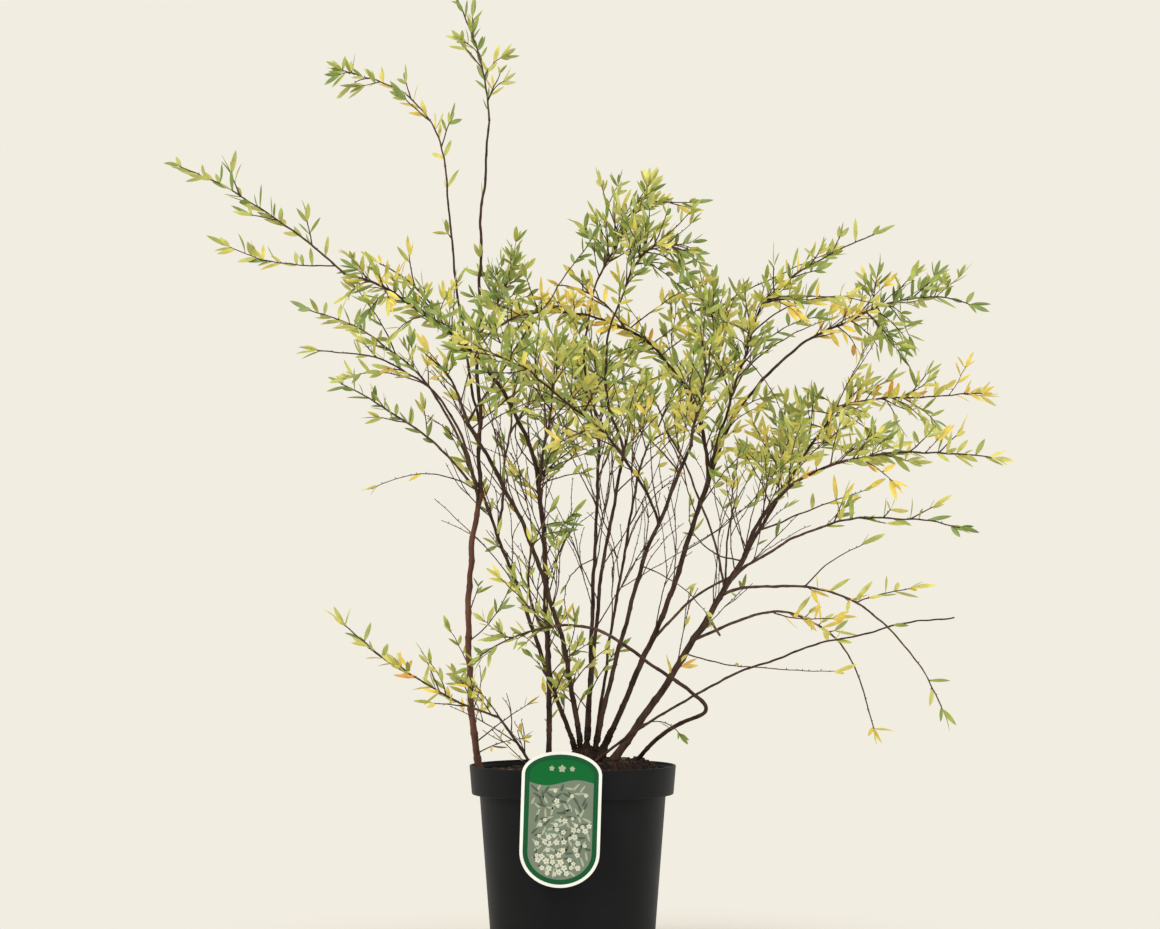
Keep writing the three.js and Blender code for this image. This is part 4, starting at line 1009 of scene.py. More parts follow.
def grow_fine_shoot(on, values, owner, random):
    row = named(FINE_KEYS, values, **FINE_USUAL)
    curve = limb_curve(bearers[on].curve.point(row.at), row)
    end = SHOOT_END if row.full else row.radius * SHOOT_TAPER
    wood.append((curve, row.radius, end))
    fine.add_path(curve, row.radius, end, owner, pieces=8)
    if row.full:
        grow_leaves(curve, row.bare, TIP.last, owner, pick_tint(row.tints, random), row.full, random)


def grow_leafy_limb(name, first, last, every, palette, random):
    bearer = bearers[name]
    curve = bearer.curve
    turn = 0
    for at in steps(first * curve.length, last * curve.length, every, SPUR.every, random):
        share = at / curve.length
        turn += GOLDEN_ANGLE
        tint = pick_tint(palette, random)
        if random() < SPUR.share:
            grow_spur(curve, share, turn, between((bearer.base, bearer.end), share), name, tint, random)
        else:
            grow_node(curve.point(share), curve.frame(share), turn, name, tint, random)


def grow_mass(mass, random):
    for arm in mass.arms:
        tint = pick_tint(mass.tints, random)
        for tuft in arm.tufts:
            grow_twiglet(tuft, mass, near_tint(tint, random), random)
        stop = max(1 - TIP.room / arm.curve.length, arm.stop)
        grow_leaves(arm.curve, arm.bare, stop, mass.name, tint, mass.leafy, random, shade=mass.shade)
    for _ in range(round(mass.twigs * mass.more)):
        grow_extra_twig(mass, random)


def grow_side_shoots(name, first, last, every, short, long, forks, palette, shade, owner, random):
    curve = bearers[name].curve
    turn = random() * WHOLE_TURN
    for at in steps(first * curve.length, last * curve.length, every, SIDE_SHOOT.every, random):
        turn += GOLDEN_ANGLE
        reach = between((short, long), random())
        tint = pick_tint(palette, random)
        share = at / curve.length
        grow_side_shoot(curve, share, turn, reach, SIDE_SHOOT.base, owner, tint, random, forks, shade)


fine_shoots = [(on, values) for on, *rows in FINE_SHOOTS for values in rows]
for index, (on, values) in enumerate(fine_shoots):
    grow_fine_shoot(on, values, f"shoot {index}", seeded_random(FINE_SEED + index))
for index, values in enumerate(LEAFY_LIMBS):
    grow_leafy_limb(*values, seeded_random(SPUR_SEED + index))
for index, mass in enumerate(masses):
    grow_mass(mass, seeded_random(TWIGLET_SEED + index))
for index, values in enumerate(SIDE_SHOOTS):
    grow_side_shoots(*values, f"side {index}", seeded_random(SIDE_SEED + index))


# The wood isn't as smooth as its curves: everything on the plant is moved a little by where it is, so that
# what grows together stays together.
CROOK = Values(still=214, full=300, waves=((3.4, 55), (0.9, 13)))  # (mm moved, mm from bend to bend)


def crooked(place):
    at = Vector(place)
    share = held((place[2] - CROOK.still) / (CROOK.full - CROOK.still))
    moved = Vector((0, 0, 0))
    for reach, width in CROOK.waves:
        moved += noise.noise_vector(at / width) * reach * share
    return np.array(at + moved)


# ---------- leaves ----------
STATIONS = (0.0, 0.09, 0.25, 0.43, 0.62, 0.82)  # of the length
BREADTHS = (0.12, 0.42, 0.84, 1.0, 0.93, 0.60)  # of the half width, there
FOLD = 0.32  # how far a leaf's halves fold up along its midrib


def leaf_faces():
    rows = len(STATIONS)
    starts = [3 * i + j for i in range(rows - 1) for j in (0, 1)]
    last, tip = 3 * (rows - 1), 3 * rows
    return [(k, k + 1, k + 4, k + 3) for k in starts] + [(last, last + 1, tip), (last + 1, last + 2, tip)]


def leaf_points(rows):
    """All the leaves of one tint at once: (leaves, corners, 3)."""
    roots = np.array([crooked(row[0]) for row in rows])
    ways, faces = (np.array([row[k] for row in rows]) for k in (1, 2))
    length, width, curl, twist = (np.array([row[k] for row in rows])[:, None] for k in (3, 4, 5, 6))
    sides = np.cross(faces, ways)
    corners = []
    for u, breadth in zip(STATIONS, BREADTHS):
        middle = roots + ways * (length * u) + faces * (length * curl * u * u * 2)
        turn = twist * u
        half = width / 2 * breadth
        across = (sides * np.cos(turn) + faces * np.sin(turn)) * half
        raised = (faces * np.cos(turn) - sides * np.sin(turn)) * (half * FOLD)
        corners += [middle - across + raised, middle, middle + across + raised]
    corners.append(roots + ways * length + faces * (length * curl * 2))
    return np.stack(corners, axis=1)


for name, rows in leaves.items():
    shape = Shape()
    shape.add_many(leaf_points(rows), leaf_faces())
    look = finish_of("leaf_" + name, tones_round(TINTS[name], 0.12), (0.42, 0.62), 14, (0.12, 1.6), gloss=1)
    is_green = list(TINTS).index(name) < GREEN_TINTS
    owners = [owner for owner in mass_names if owner in leaf_owners[name]]
    piece(f"leaves_{name}", shape, look, owners)


# ---------- wood ----------
CAP = ((0.94, 0.34), (0.64, 0.77))  # rings of a round end: how far out and how wide, as shares of the radius
COLLAR_REACH = 2.2  # radii
KNOT = Values(swell=0.16, width=1.5, shift=7)
FURROWS = Values(wide=(1.4, 16), narrow=(3.2, 5), share=0.6)  # noise to a radius, and mm for it along a limb
LIMB_WOOD = dict(ring=2.4, relief=0.16, knots=27)
SHOOT_WOOD = dict(sides=7, ring=3.5, relief=0.14, knots=12.5)
TWIG_WOOD = dict(sides=6, ring=4, relief=0.12, knots=12.5)
FINE_WOOD = dict(sides=5, ring=5)
MANY_SIDES, FEW_SIDES = 14, 10
THICK = 2  # a limb's radius from which it has many sides
SHOOT_FROM, TWIG_FROM = 0.75, 0.6  # and the radii from which wood is a shoot, and a twig that isn't fine
COLLARS = Values(soil=0.35, limb=0.25, arm=0.3, twig=0.4)
THIN = dict(stem=0.62, twig=0.42)  # radius at the tip of an arm
ARM_TIP = 14  # mm of it past the wood
STUB_LAP = 0.03  # of a stem's length inside its stub
KNEE = 24  # mm from the corner at which its round bend starts
# What goes on from what, round a bend.
KNEES = {"hooked_bough": "hooked_stem", "low_inner_spray": "hooked_bough"}
BUD = Values(foot=0.2, waist=0.9, length=2.6, half=0.62, rise=0.6, across=(0.31, 0.77, 0.55))
BUD_FACES = [(0, 2, 1), (0, 3, 2), (0, 4, 3), (0, 1, 4), (5, 1, 2), (5, 2, 3), (5, 3, 4), (5, 4, 1)]
STEM_NAMES = [name for name in limbs if name.endswith("_stem") and name != "west_stem"]
WEST_NAMES = ["west_stem"]
BOUGH_NAMES = [name for name in limbs if name not in STEM_NAMES + WEST_NAMES]


def tube(shape, curve, base, end, start=0.0, stop=1.0, sides=8, ring=3.0, relief=0.0, collar=0.0, knots=0.0,
         floor=None, seed=0):
    """A limb: a tapering tube with round ends, a collar at its foot, swollen nodes and furrowed bark.
    "floor" makes its foot flat at that height."""
    pieces = max(2, math.ceil(curve.length * (stop - start) / ring))
    rows = [(start + (stop - start) * (i / pieces), 0.0, 1.0) for i in range(pieces + 1)]
    if floor is None:
        rows = [(start, -push, squeeze) for push, squeeze in CAP] + rows
    rows += [(stop, push, squeeze) for push, squeeze in reversed(CAP)]
    turns = np.arange(sides) * (WHOLE_TURN / sides)
    corners = list(zip(np.cos(turns), np.sin(turns)))
    points = []
    for t, push, squeeze in rows:
        along, side, edge = curve.frame(t)
        distance = curve.length * (t - start)
        radius = base + (end - base) * t
        swell = 1 + collar * math.exp(-distance / (COLLAR_REACH * base))
        if knots:
            past = (distance + seed * KNOT.shift) % knots - knots / 2
            swell += KNOT.swell * math.exp(-(past / KNOT.width) ** 2)
        middle = crooked(curve.point(t)) + along * (push * radius)
        for x, y in corners:
            rough = 1.0
            if relief:
                turned, length = FURROWS.wide
                wide = noise.noise(Vector((x * turned + seed, y * turned, distance / length)))
                turned, length = FURROWS.narrow
                narrow = noise.noise(Vector((x * turned, y * turned + seed, distance / length)))
                rough += relief * (wide + FURROWS.share * narrow)
            r = radius * swell * squeeze * rough
            points.append(middle + side * (x * r) + edge * (y * r))
    if floor is not None:
        for k, point in enumerate(points):
            point[2] = floor if k < sides else max(point[2], floor)
    last = (len(rows) - 1) * sides
    ends = [tuple(reversed(range(sides))), tuple(range(last, last + sides))]
    shape.add(points, bands(len(rows), sides) + ends)


def knee_before(name, curve, radius, shape, how):
    """Draws the bend in which this curve goes on from another limb, and tells where its own wood starts."""
    if name not in KNEES:
        return 0.0
    limb = limbs[KNEES[name]]
    start = KNEE / curve.length
    knee = Curve(limb.curve.point(1 - KNEE / limb.curve.length), curve.foot, curve.point(start))
    tube(shape, knee, limb.end, radius, **how)
    return start


def draw_limb(shape, limb):
    curve = limb.curve
    sides = MANY_SIDES if limb.base > THICK else FEW_SIDES
    how = dict(LIMB_WOOD, sides=sides, seed=list(limbs).index(limb.name))
    start = knee_before(limb.name, curve, limb.base, shape, how)
    stop = 1 - KNEE / curve.length if limb.name in KNEES.values() else 1.0
    collar = 0 if start else COLLARS.limb
    floor = None
    if limb.on == "crown":
        start = max(limb.start - STUB_LAP, 0)
        collar = 0
    if limb.on == "soil":
        collar = COLLARS.soil
        floor = curve.foot[2] - GAP
    tube(shape, curve, limb.base, limb.end, start, stop, collar=collar, floor=floor, **how)


def draw_arm(shape, arm, mass_name, seed):
    curve = arm.curve
    how = dict(SHOOT_WOOD, seed=seed)
    start = knee_before(mass_name, curve, arm.base, shape, how) if arm.kind == "stem" else 0.0
    stop = max(1 - ARM_TIP / curve.length, arm.stop)
    tube(shape, curve, arm.base, THIN[arm.kind], start, stop, collar=0 if start else COLLARS.arm, **how)


def bud_points(rows):
    """Small pointed buds in the leaves' axils: (buds, corners, 3)."""
    lean = np.array([way for root, way in rows]) + UP * BUD.rise
    lean /= np.linalg.norm(lean, axis=1)[:, None]
    side = np.cross(lean, BUD.across)
    side /= np.linalg.norm(side, axis=1)[:, None]
    other = np.cross(lean, side)
    foot = np.array([crooked(root) for root, way in rows]) + lean * BUD.foot
    waist = foot + lean * BUD.waist
    ring = [waist + way * BUD.half for way in (side, other, -side, -other)]
    return np.stack([foot, *ring, foot + lean * BUD.length], axis=1)


def draw_wood():
    bark = finish_of("bark", ((36, 24, 19), (78, 56, 46)), (0.62, 0.85), 9, (0.35, 1.6), stretch=(1, 1, 0.35),
                     gloss=0.2)
    young_bark = finish_of("young_bark", ((66, 38, 30), (112, 72, 54)), (0.5, 0.72), 12, (0.2, 1.4),
                           stretch=(1, 1, 0.3), gloss=0.25)
    twig_bark = finish_of("twig_bark", ((50, 34, 26), (98, 74, 56)), (0.55, 0.75), 8, (0.12, 1.2), gloss=0.2)
    for title, names, look in (("stems", STEM_NAMES, bark), ("west_stem_bark", WEST_NAMES, young_bark),
                               ("boughs", BOUGH_NAMES, bark)):
        shape = Shape()
        for name in names:
            draw_limb(shape, limbs[name])
        piece(title, shape, look, names)

    shoots, twigs, all_buds = Shape(), Shape(), Shape()
    for index, mass in enumerate(masses):
        for k, arm in enumerate(mass.arms):
            draw_arm(shoots, arm, mass.name, index + 3 * k)
    for k, (curve, base, end) in enumerate(wood):
        how = FINE_WOOD if base < TWIG_FROM else TWIG_WOOD
        tube(twigs if base < SHOOT_FROM else shoots, curve, base, end, collar=COLLARS.twig, seed=k, **how)
    all_buds.add_many(bud_points(buds), BUD_FACES)
    for title, shape in (("shoots", shoots), ("twigs", twigs), ("buds", all_buds)):
        piece(title, shape, twig_bark, mass_names)


draw_wood()

# ---------- root crown ----------
STUB_WOOD = dict(sides=14, ring=2.5, collar=1)
STUB_PAST = 0.01  # of a stem's length past the top of its stub
BLEND = Values(voxel=1.1, soften=0.5, rounds=4)
KNURLS = Values(high=2.6, wide=(6, 6, 14))  # mm
GRAIN = Values(high=1.1, wide=2.6)  # mm


def root_crown():
    """The woody knot with the stubs of its stems, grown together and furrowed."""
    shape = Shape()
    ball = bmesh.new()
    bmesh.ops.create_icosphere(ball, subdivisions=3, radius=1)
    ball.verts.ensure_lookup_table()
    points = [np.array(v.co) * CROWN.radii + CROWN.centre for v in ball.verts]
    shape.add(points, [[v.index for v in f.verts] for f in ball.faces])
    ball.free()
    for limb in limbs.values():
        if limb.on == "crown":
            tube(shape, limb.curve, limb.base, limb.end, 0, limb.start + STUB_PAST, **STUB_WOOD)
    blank = add_object("crown_blank", shape.mesh("crown_blank"))
    blend = blank.modifiers.new("blend", "REMESH")
    blend.mode = "VOXEL"
    blend.voxel_size = BLEND.voxel * MM
    soften = blank.modifiers.new("soften", "SMOOTH")
    soften.factor = BLEND.soften
    soften.iterations = BLEND.rounds
    mesh = shaped_by_modifiers(blank)
    floor = (SOIL.mound + GAP) * MM
    for v in mesh.vertices:
        at = v.co / MM
        knurl = noise.noise(Vector([c / wide for c, wide in zip(at, KNURLS.wide)]))
        height = KNURLS.high * knurl + GRAIN.high * noise.noise(at / GRAIN.wide)
        v.co += v.normal * height * MM
        v.co.z = max(v.co.z, floor)
    return mesh


crown_bark = finish_of("crown_bark", ((28, 19, 15), (64, 46, 37)), (0.7, 0.9), 7, (0.8, 1.8),
                       stretch=(1, 1, 0.5), gloss=0.15)
piece("root_crown_bark", root_crown(), crown_bark, ["root_crown"])

# ---------- pot ----------
ROUNDING_STEPS = 4
DRILL = Values(bottom=-3, top=9, sides=32)
SHARP = 40  # degrees between faces from which the edge between them stays crisp


def lathe(profile, segments):
    """Turns a closed profile of (radius, height), which starts and ends on the axis."""
    rings = profile[1:-1]
    points = [(x, y, z) for r, z in rings for x, y in circle(r, segments)]
    faces = bands(len(rings), segments)
    first, last = len(points), len(points) + 1
    points += [(0, 0, profile[0][1]), (0, 0, profile[-1][1])]
    top = (len(rings) - 1) * segments
    for k in range(segments):
        nxt = (k + 1) % segments
        faces += [(first, nxt, k), (last, top + k, top + nxt)]
    return points, faces


def rounded(corners):
    """An outline of (radius, height, rounding) corners as points, each rounding an arc."""
    points = []
    for i, (r, z, rounding) in enumerate(corners):
        here = Vector((r, z))
        if rounding == 0 or i in (0, len(corners) - 1):
            points.append((r, z))
            continue
        before = (Vector(corners[i - 1][:2]) - here).normalized()
        after = (Vector(corners[i + 1][:2]) - here).normalized()
        for k in range(ROUNDING_STEPS + 1):
            t = k / ROUNDING_STEPS
            p = here + before * rounding * (1 - t) ** 2 + after * rounding * t * t
            points.append((p.x, p.y))
    return points


def pot_profile():
    """Its section's corners, from the middle of the underside out, up the outside and down the inside."""
    p = POT
    under_band = p.height - p.band_height
    inner_floor = p.foot + (p.shoulder - p.foot) * p.floor / under_band - p.wall
    mouth = p.rim - p.lip
    ledge = p.height - p.lip
    return [
        (0, 0, 0),
        (p.groove_inner, 0, 0.4),
        (p.groove_inner + p.slope, p.groove_depth, 0.4),
        (p.groove_outer - p.slope, p.groove_depth, 0.4),
        (p.groove_outer, 0, 0.4),
        (p.foot, 0, 2.0),
        (p.shoulder, under_band, 1.4),
        (p.band, under_band, 1.6),
        (p.rim, p.height, 1.1),
        (mouth, p.height, 0.9),
        (mouth, ledge, 0.8),
        (mouth - p.slope, ledge - p.lip_step, 0.8),
        (p.band - p.wall, under_band + p.wall, 0.9),
        (p.shoulder - p.wall, under_band + p.wall, 0.9),
        (inner_floor, p.floor, 1.5),
        (0, p.floor, 0),
    ]


def pot_mesh():
    """The turned pot, with drain holes cut through the groove in its underside."""
    body, drills = Shape(), Shape()
    body.add(*lathe(rounded(pot_profile()), POT.segments))
    for x, y in circle((POT.groove_inner + POT.groove_outer) / 2, POT.holes):
        rim = circle(POT.hole, DRILL.sides, x, y)
        drills.add_prism(*[[(*corner, z) for corner in rim] for z in (DRILL.bottom, DRILL.top)])
    blank = add_object("pot_blank", body.mesh("pot_blank"))
    tool = add_object("pot_drills", drills.mesh("pot_drills"))
    cut = blank.modifiers.new("holes", "BOOLEAN")
    cut.object = tool
    cut.operation = "DIFFERENCE"
    cut.solver = "EXACT"
    mesh = shaped_by_modifiers(blank)
    bpy.data.objects.remove(tool)
    return mesh


plastic = finish_of("pot_plastic", ((20, 22, 24), (26, 28, 30)), (0.4, 0.56), 60, (0.05, 0.9), detail=4,
                    gloss=0.08)
pot = piece("nursery_pot", pot_mesh(), plastic, ["pot"])
pot.data.set_sharp_from_angle(angle=math.radians(SHARP))

# ---------- compost ----------
LUMPS = ((2.2, 11), (1.1, 4.2))  # (mm high, mm wide)
LUMPS_SUNK = 1.5
ANY_TURN = 6.28  # a whole turn, or nearly
CHIP_SEED = 7000
CHIPS_CLEAR = 12  # of the pot's rim
CHIP = Values(tilt=0.9, width=(0.35, 0.75), sunk=0.3, shake=(0.75, 1.2))
CHIPS = {  # how many, their sizes, their thickness to that, and tones
    "compost_crumbs": (1300, (1.8, 5.0), 0.7, ((28, 21, 19), (60, 45, 39))),
    "bark_chips": (260, (4.0, 11.0), 0.35, ((44, 31, 25), (84, 62, 49))),
    "pale_fibres": (60, (5.0, 11.0), 0.14, ((84, 64, 46), (122, 98, 72))),
}


def ground(x, y):
    """The height of the compost: level, with a low mound, and lumpy."""
    away = math.hypot(x - SOIL.centre[0], y - SOIL.centre[1])
    share = held((SOIL.foot - away) / (SOIL.foot - SOIL.top))
    height = SOIL.level + (SOIL.mound - SOIL.level) * share * share * (3 - 2 * share) - LUMPS_SUNK
    for high, wide in LUMPS:
        height += high * noise.noise(Vector((x, y, 0)) / wide)
    return height


def compost_shape():
    """Rings of points on the ground, with a flat underside."""
    shape = Shape()
    rings, spokes = SOIL.rings, SOIL.spokes
    outer = POT.rim - POT.lip - SOIL.inset
    places = [(0, 0)] + [place for i in range(rings) for place in circle(outer * (i + 1) / rings, spokes)]
    points = [(x, y, ground(x, y)) for x, y in places]
    points += [(x, y, SOIL.level - SOIL.depth) for x, y in places[-spokes:]]
    faces = [(0, 1 + k, 1 + (k + 1) % spokes) for k in range(spokes)]
    for i in range(rings):
        for k in range(spokes):
            a, b = 1 + i * spokes + k, 1 + i * spokes + (k + 1) % spokes
            faces.append((a, a + spokes, b + spokes, b))
    under = 1 + rings * spokes
    shape.add(points, faces + [tuple(range(under, under + spokes))])
    return shape


def add_chip(shape, x, y, size, flat, random):
    """A crumb or a splinter of bark: a small block with knocked-about corners."""
    spin = random() * ANY_TURN
    tilt = (random() - 0.5) * CHIP.tilt
    width, thickness = size * between(CHIP.width, random()), size * flat
    along = np.array((math.cos(spin), math.sin(spin), tilt))
    side = unit(cross(UP, along))
    top = unit(cross(along, side))
    middle = np.array((x, y, ground(x, y) + thickness * CHIP.sunk))
    corners = []
    for i in (-0.5, 0.5):
        for j in (-0.5, 0.5):
            for k in (-0.5, 0.5):
                shake = between(CHIP.shake, random())
                corner = middle + along * (i * size * shake) + side * (j * width * shake)
                corners.append(corner + top * (k * thickness))
    shape.add(corners, [(0, 1, 3, 2), (4, 6, 7, 5), (0, 4, 5, 1), (2, 3, 7, 6), (0, 2, 6, 4), (1, 5, 7, 3)])


def scatter(name, count, sizes, flat, tones, random):
    shape = Shape()
    for _ in range(count):
        r = (POT.rim - CHIPS_CLEAR) * math.sqrt(random())
        turn = WHOLE_TURN * random()
        size = between(sizes, random() ** 2)
        add_chip(shape, r * math.cos(turn), r * math.sin(turn), size, flat, random)
    look = finish_of(name, tones, (0.75, 0.95), 4, (0.4, 1.2), gloss=0.2)
    piece(name, shape, look, [], smooth=False)


compost_look = finish_of("compost", ((24, 18, 16), (50, 38, 34)), (0.85, 1.0), 5, (1.4, 2.2), gloss=0.2)
piece("compost", compost_shape(), compost_look, ["soil"])
for index, (name, values) in enumerate(CHIPS.items()):
    scatter(name, *values, seeded_random(CHIP_SEED + index))

# ---------- label ----------
LABEL_TONES = {
    "card": (240, 241, 238), "band": (12, 84, 46), "field": (116, 128, 112), "header": (4, 100, 46),
    "pale": (164, 174, 152), "dark": (78, 94, 78), "bloom": (206, 210, 194), "eye": (176, 172, 126),
}
LABEL_SEED = 8100
HEADER = Values(bottom=33, wave=3.2, points=25)
HEADER_BLOOMS = ((-11, 3.0), (0, 4.2), (11, 3.0))  # how far to the right, and size
HEADER_BLOOM = Values(height=48, turn=0.3)
# Pairs are for the top row and the bottom one, or the least and the most.
SPRIGS = Values(rows=15, columns=9, top=27, apart=6.4, shake=4, inset=4, inset_below=4.5)
SPRIG = Values(dark=(0.6, 0.2), length=(8.5, 11.5), width=2.6, points=10, narrower=0.25)
BLOOM = Values(share=(0.2, 0.9), size=(1.8, 3.2), more=0.8, shift=1.5, eye=0.28, points=20, waist=0.62,
               petals=5)


def on_label(u, v, depth):
    """A place u to the right and v above the label's middle, this far in front of the card's back."""
    turn = math.radians(LABEL.turn)
    x, y, z = LABEL.centre
    across = x + u * math.cos(turn) - v * math.sin(turn)
    up = z + u * math.sin(turn) + v * math.cos(turn)
    return across, y - depth, up


def bow(inset, rise, side, steps):
    """The label's round top (side 1) or bottom (side -1), moved in by "inset", anticlockwise."""
    half = LABEL.width / 2 - inset
    start = 0 if side > 0 else math.pi
    angles = np.linspace(start, start + math.pi, steps)
    return [(half * math.cos(a), side * LABEL.straight / 2 + (rise - inset) * math.sin(a)) for a in angles]


def label_outline(inset, steps=28):
    return bow(inset, LABEL.top, 1, steps) + bow(inset, LABEL.bottom, -1, steps)


def add_plate(shape, outline, back, front):
    """A flat plate between two depths; its outline runs anticlockwise, seen from the front."""
    shape.add_prism([on_label(u, v, back) for u, v in outline], [on_label(u, v, front) for u, v in outline])


def add_layer(shape, outline, level):
    """A plate one layer of print thick, over so many others."""
    add_plate(shape, outline, LABEL.thick + level * LABEL.layer, LABEL.thick + (level + 1) * LABEL.layer)


def add_hook(shape):
    """The strip behind the card that goes over the rim and down inside it."""
    x, card_back, _ = LABEL.centre
    half = LABEL.hook / 2
    inside = POT.rim - POT.lip - 2 * GAP
    leg = -math.sqrt(inside ** 2 - (half + abs(x)) ** 2)
    top, foot = POT.height + GAP, POT.height + GAP - LABEL.hook_drop
    under, bend, thick = 0.1, 1.6, LABEL.thick
    inner = [(card_back + under, top + under), (leg - 1.2, top + under), (leg - 0.3, top - 0.5),
             (leg, top - bend), (leg, foot)]
    outer = [(card_back + under, top + thick), (leg - 1, top + thick), (leg + 0.5, top + under),
             (leg + thick, top - bend), (leg + thick, foot)]
    profile = inner + outer[::-1]
    shape.add_prism([(x - half, y, z) for y, z in profile], [(x + half, y, z) for y, z in profile])


def blossom(u, v, size, turn):
    """A plain flower of round petals, as an outline."""
    outline = []
    for k in range(BLOOM.points):
        a = turn + WHOLE_TURN * k / BLOOM.points
        r = size * (BLOOM.waist + (1 - BLOOM.waist) * abs(math.cos(BLOOM.petals / 2 * (a - turn))))
        outline.append((u + r * math.cos(a), v + r * math.sin(a)))
    return outline


def sprig_leaf(u, v, length, width, turn):
    """A leaf with one end a little narrower, as an outline."""
    outline = []
    for x, y in circle(1, SPRIG.points):
        along, across = length / 2 * x, width / 2 * y * (1 - SPRIG.narrower * x)
        outline.append((u + along * math.cos(turn) - across * math.sin(turn),
                        v + along * math.sin(turn) + across * math.cos(turn)))
    return outline


def field_half(v):
    """Half the width that the field leaves for sprigs at this height."""
    half = LABEL.width / 2 - LABEL.band
    low = -LABEL.straight / 2
    if v > low:
        return half - SPRIGS.inset
    return half * math.sqrt(max(0, 1 - ((v - low) / (LABEL.bottom - LABEL.band)) ** 2)) - SPRIGS.inset_below


def add_sprigs(shapes):
    """Rows of small leaves, darker above, among blossoms that get more and larger below."""
    random = seeded_random(LABEL_SEED)
    width = LABEL.width - 2 * LABEL.band
    for i in range(SPRIGS.rows):
        down = i / SPRIGS.rows
        for j in range(SPRIGS.columns):
            column = j + 0.5 + 0.5 * (i % 2) - SPRIGS.columns / 2
            u = column * width / SPRIGS.columns + (random() - 0.5) * SPRIGS.shake
            v = SPRIGS.top - i * SPRIGS.apart + (random() - 0.5) * SPRIGS.shake
            if abs(u) > field_half(v):
                continue
            kind = "dark" if random() < between(SPRIG.dark, down) else "pale"
            length = between(SPRIG.length, random())
            add_layer(shapes[kind], sprig_leaf(u, v, length, SPRIG.width, random() * ANY_TURN / 2), 2)
            if random() < between(BLOOM.share, down):
                size = between(BLOOM.size, random()) + BLOOM.more * down
                place = (u + BLOOM.shift, v - BLOOM.shift)
                add_layer(shapes["bloom"], blossom(*place, size, random() * ANY_TURN), 3)
                add_layer(shapes["eye"], blossom(*place, size * BLOOM.eye, 0), 4)


def label_pieces():
    shapes = {name: Shape() for name in LABEL_TONES}
    add_plate(shapes["card"], label_outline(0), 0, LABEL.thick)
    add_hook(shapes["card"])
    add_layer(shapes["band"], label_outline(LABEL.border), 0)
    add_layer(shapes["field"], label_outline(LABEL.band), 1)
    half = LABEL.width / 2 - LABEL.band
    wave = [(u, HEADER.bottom + HEADER.wave * math.sin(u / half * math.pi))
            for u in np.linspace(-half, half, HEADER.points)]
    add_layer(shapes["header"], wave + bow(LABEL.band, LABEL.top, 1, HEADER.points), 2)
    add_sprigs(shapes)
    for u, size in HEADER_BLOOMS:
        add_layer(shapes["pale"], blossom(u, HEADER_BLOOM.height, size, HEADER_BLOOM.turn), 3)
    for name, shape in shapes.items():
        tones = tones_round(LABEL_TONES[name], 0.03)
        look = finish_of("label_" + name, tones, (0.35, 0.5), 30, (0.02, 2), gloss=0.15)
        piece("label_" + name, shape, look, ["label"], smooth=False)


label_pieces()

# ---------- floor, light and camera ----------
BACKGROUND = (242, 237, 225)  # as seen
FLOOR = Values(reach=40000, corners=96, tone=(232, 230, 225), rough=0.9, gloss=0.1)
FLOOR_FADES = (0.1, 0.6)  # metres out
LIGHTS = {  # place and size in metres, power in watts, and colour
    "key": ((-1.8, -2.6, 3.0), 2.2, 60, (1, 0.98, 0.95)),
    "fill": ((2.6, -2.2, 1.6), 2.4, 22, (1, 0.99, 0.97)),
}
LIGHTS_AIM = (0, 0, 0.5)
CAMERA_PLACE = (8, -4500, 480)
CAMERA_AIM = (8, 0, 535)
FRAME_WIDTH = 1276  # how much of the plane through the pot's axis the frame takes in


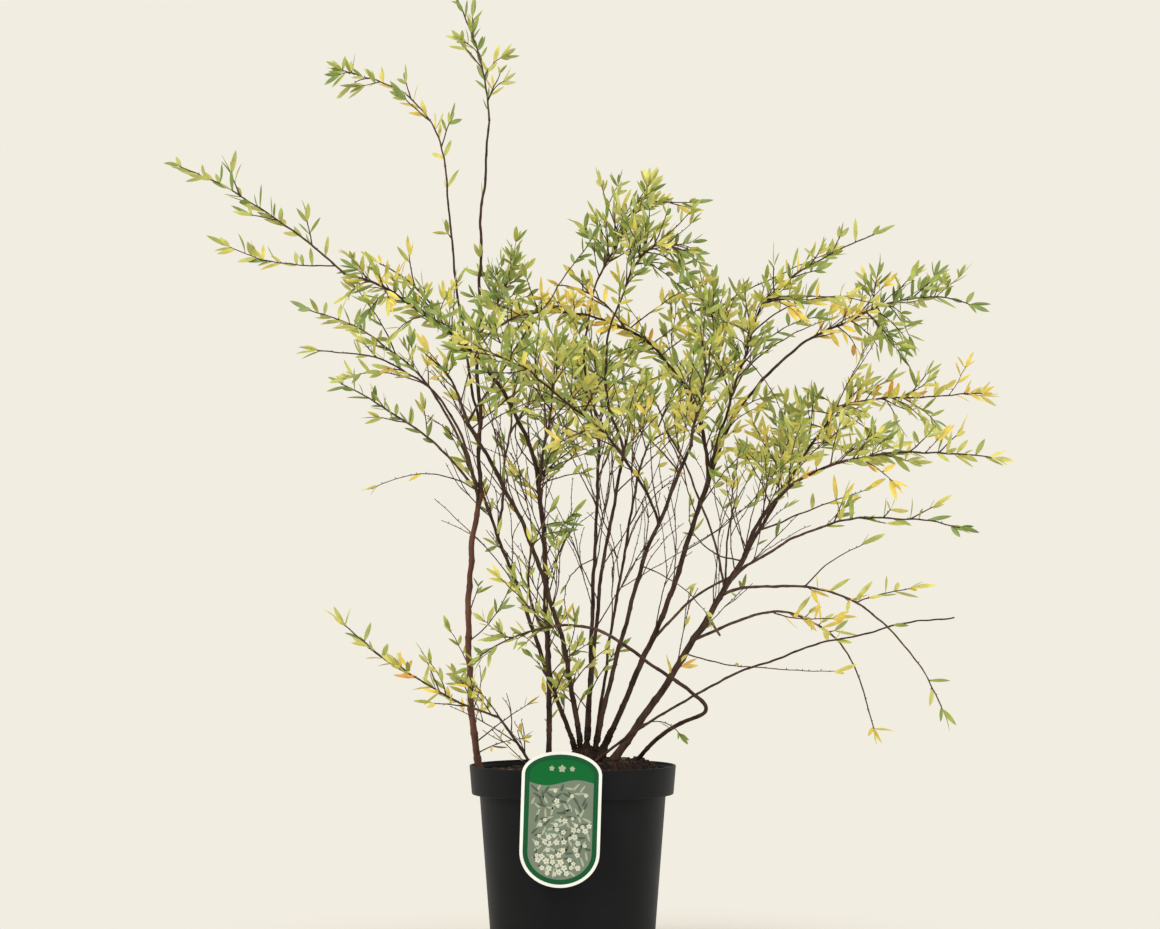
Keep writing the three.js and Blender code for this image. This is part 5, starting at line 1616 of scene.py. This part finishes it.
def floor_paper():
    """Paper under the pot that fades into the background further out."""
    made, tree = new_material("floor_paper")
    link = tree.links.new
    shader = tree.nodes["Principled BSDF"]
    shader.inputs["Base Color"].default_value = linear(FLOOR.tone)
    shader.inputs["Roughness"].default_value = FLOOR.rough
    shader.inputs["Specular IOR Level"].default_value = FLOOR.gloss
    glow = add_node(tree, "Emission", {"Color": linear(BACKGROUND)})
    place = add_node(tree, "TexCoord")
    away = add_node(tree, "VectorMath")
    away.operation = "LENGTH"
    fade = add_node(tree, "MapRange", {"From Min": FLOOR_FADES[0], "From Max": FLOOR_FADES[1]})
    fade.interpolation_type = "SMOOTHSTEP"
    mix = add_node(tree, "MixShader")
    link(place.outputs["Object"], away.inputs[0])
    link(away.outputs["Value"], fade.inputs["Value"])
    link(fade.outputs["Result"], mix.inputs["Fac"])
    link(shader.outputs["BSDF"], mix.inputs[1])
    link(glow.outputs["Emission"], mix.inputs[2])
    link(mix.outputs["Shader"], tree.nodes["Material Output"].inputs["Surface"])
    return made


def lay_floor():
    shape = Shape()
    shape.add([(x, y, 0) for x, y in circle(FLOOR.reach, FLOOR.corners)], [tuple(range(FLOOR.corners))])
    made = add_object("floor", shape.mesh("floor"))
    made.data.materials.append(floor_paper())


def aim(made, place, target):
    """Puts a lamp or camera in its place and turns it to its target, both in metres."""
    made.location = place
    made.rotation_euler = (Vector(target) - Vector(place)).to_track_quat("-Z", "Y").to_euler()


def area_light(name, place, size, power, tone):
    light = bpy.data.lights.new(name, "AREA")
    light.size = size
    light.energy = power
    light.color = tone
    aim(add_object(name, light), place, LIGHTS_AIM)


def set_up_world(scene):
    scene.view_settings.view_transform = "Standard"
    scene.world = bpy.data.worlds.new("studio")
    scene.world.use_nodes = True
    backdrop = scene.world.node_tree.nodes["Background"]
    backdrop.inputs["Color"].default_value = linear(BACKGROUND)
    backdrop.inputs["Strength"].default_value = 1.0


def set_up_camera(scene):
    lens = bpy.data.cameras.new("camera")
    lens.sensor_fit = "HORIZONTAL"
    lens.angle = 2 * math.atan(FRAME_WIDTH / 2 / -CAMERA_PLACE[1])
    scene.camera = add_object("camera", lens)
    aim(scene.camera, Vector(CAMERA_PLACE) * MM, Vector(CAMERA_AIM) * MM)


lay_floor()
set_up_world(bpy.context.scene)
for name, values in LIGHTS.items():
    area_light(name, *values)
set_up_camera(bpy.context.scene)
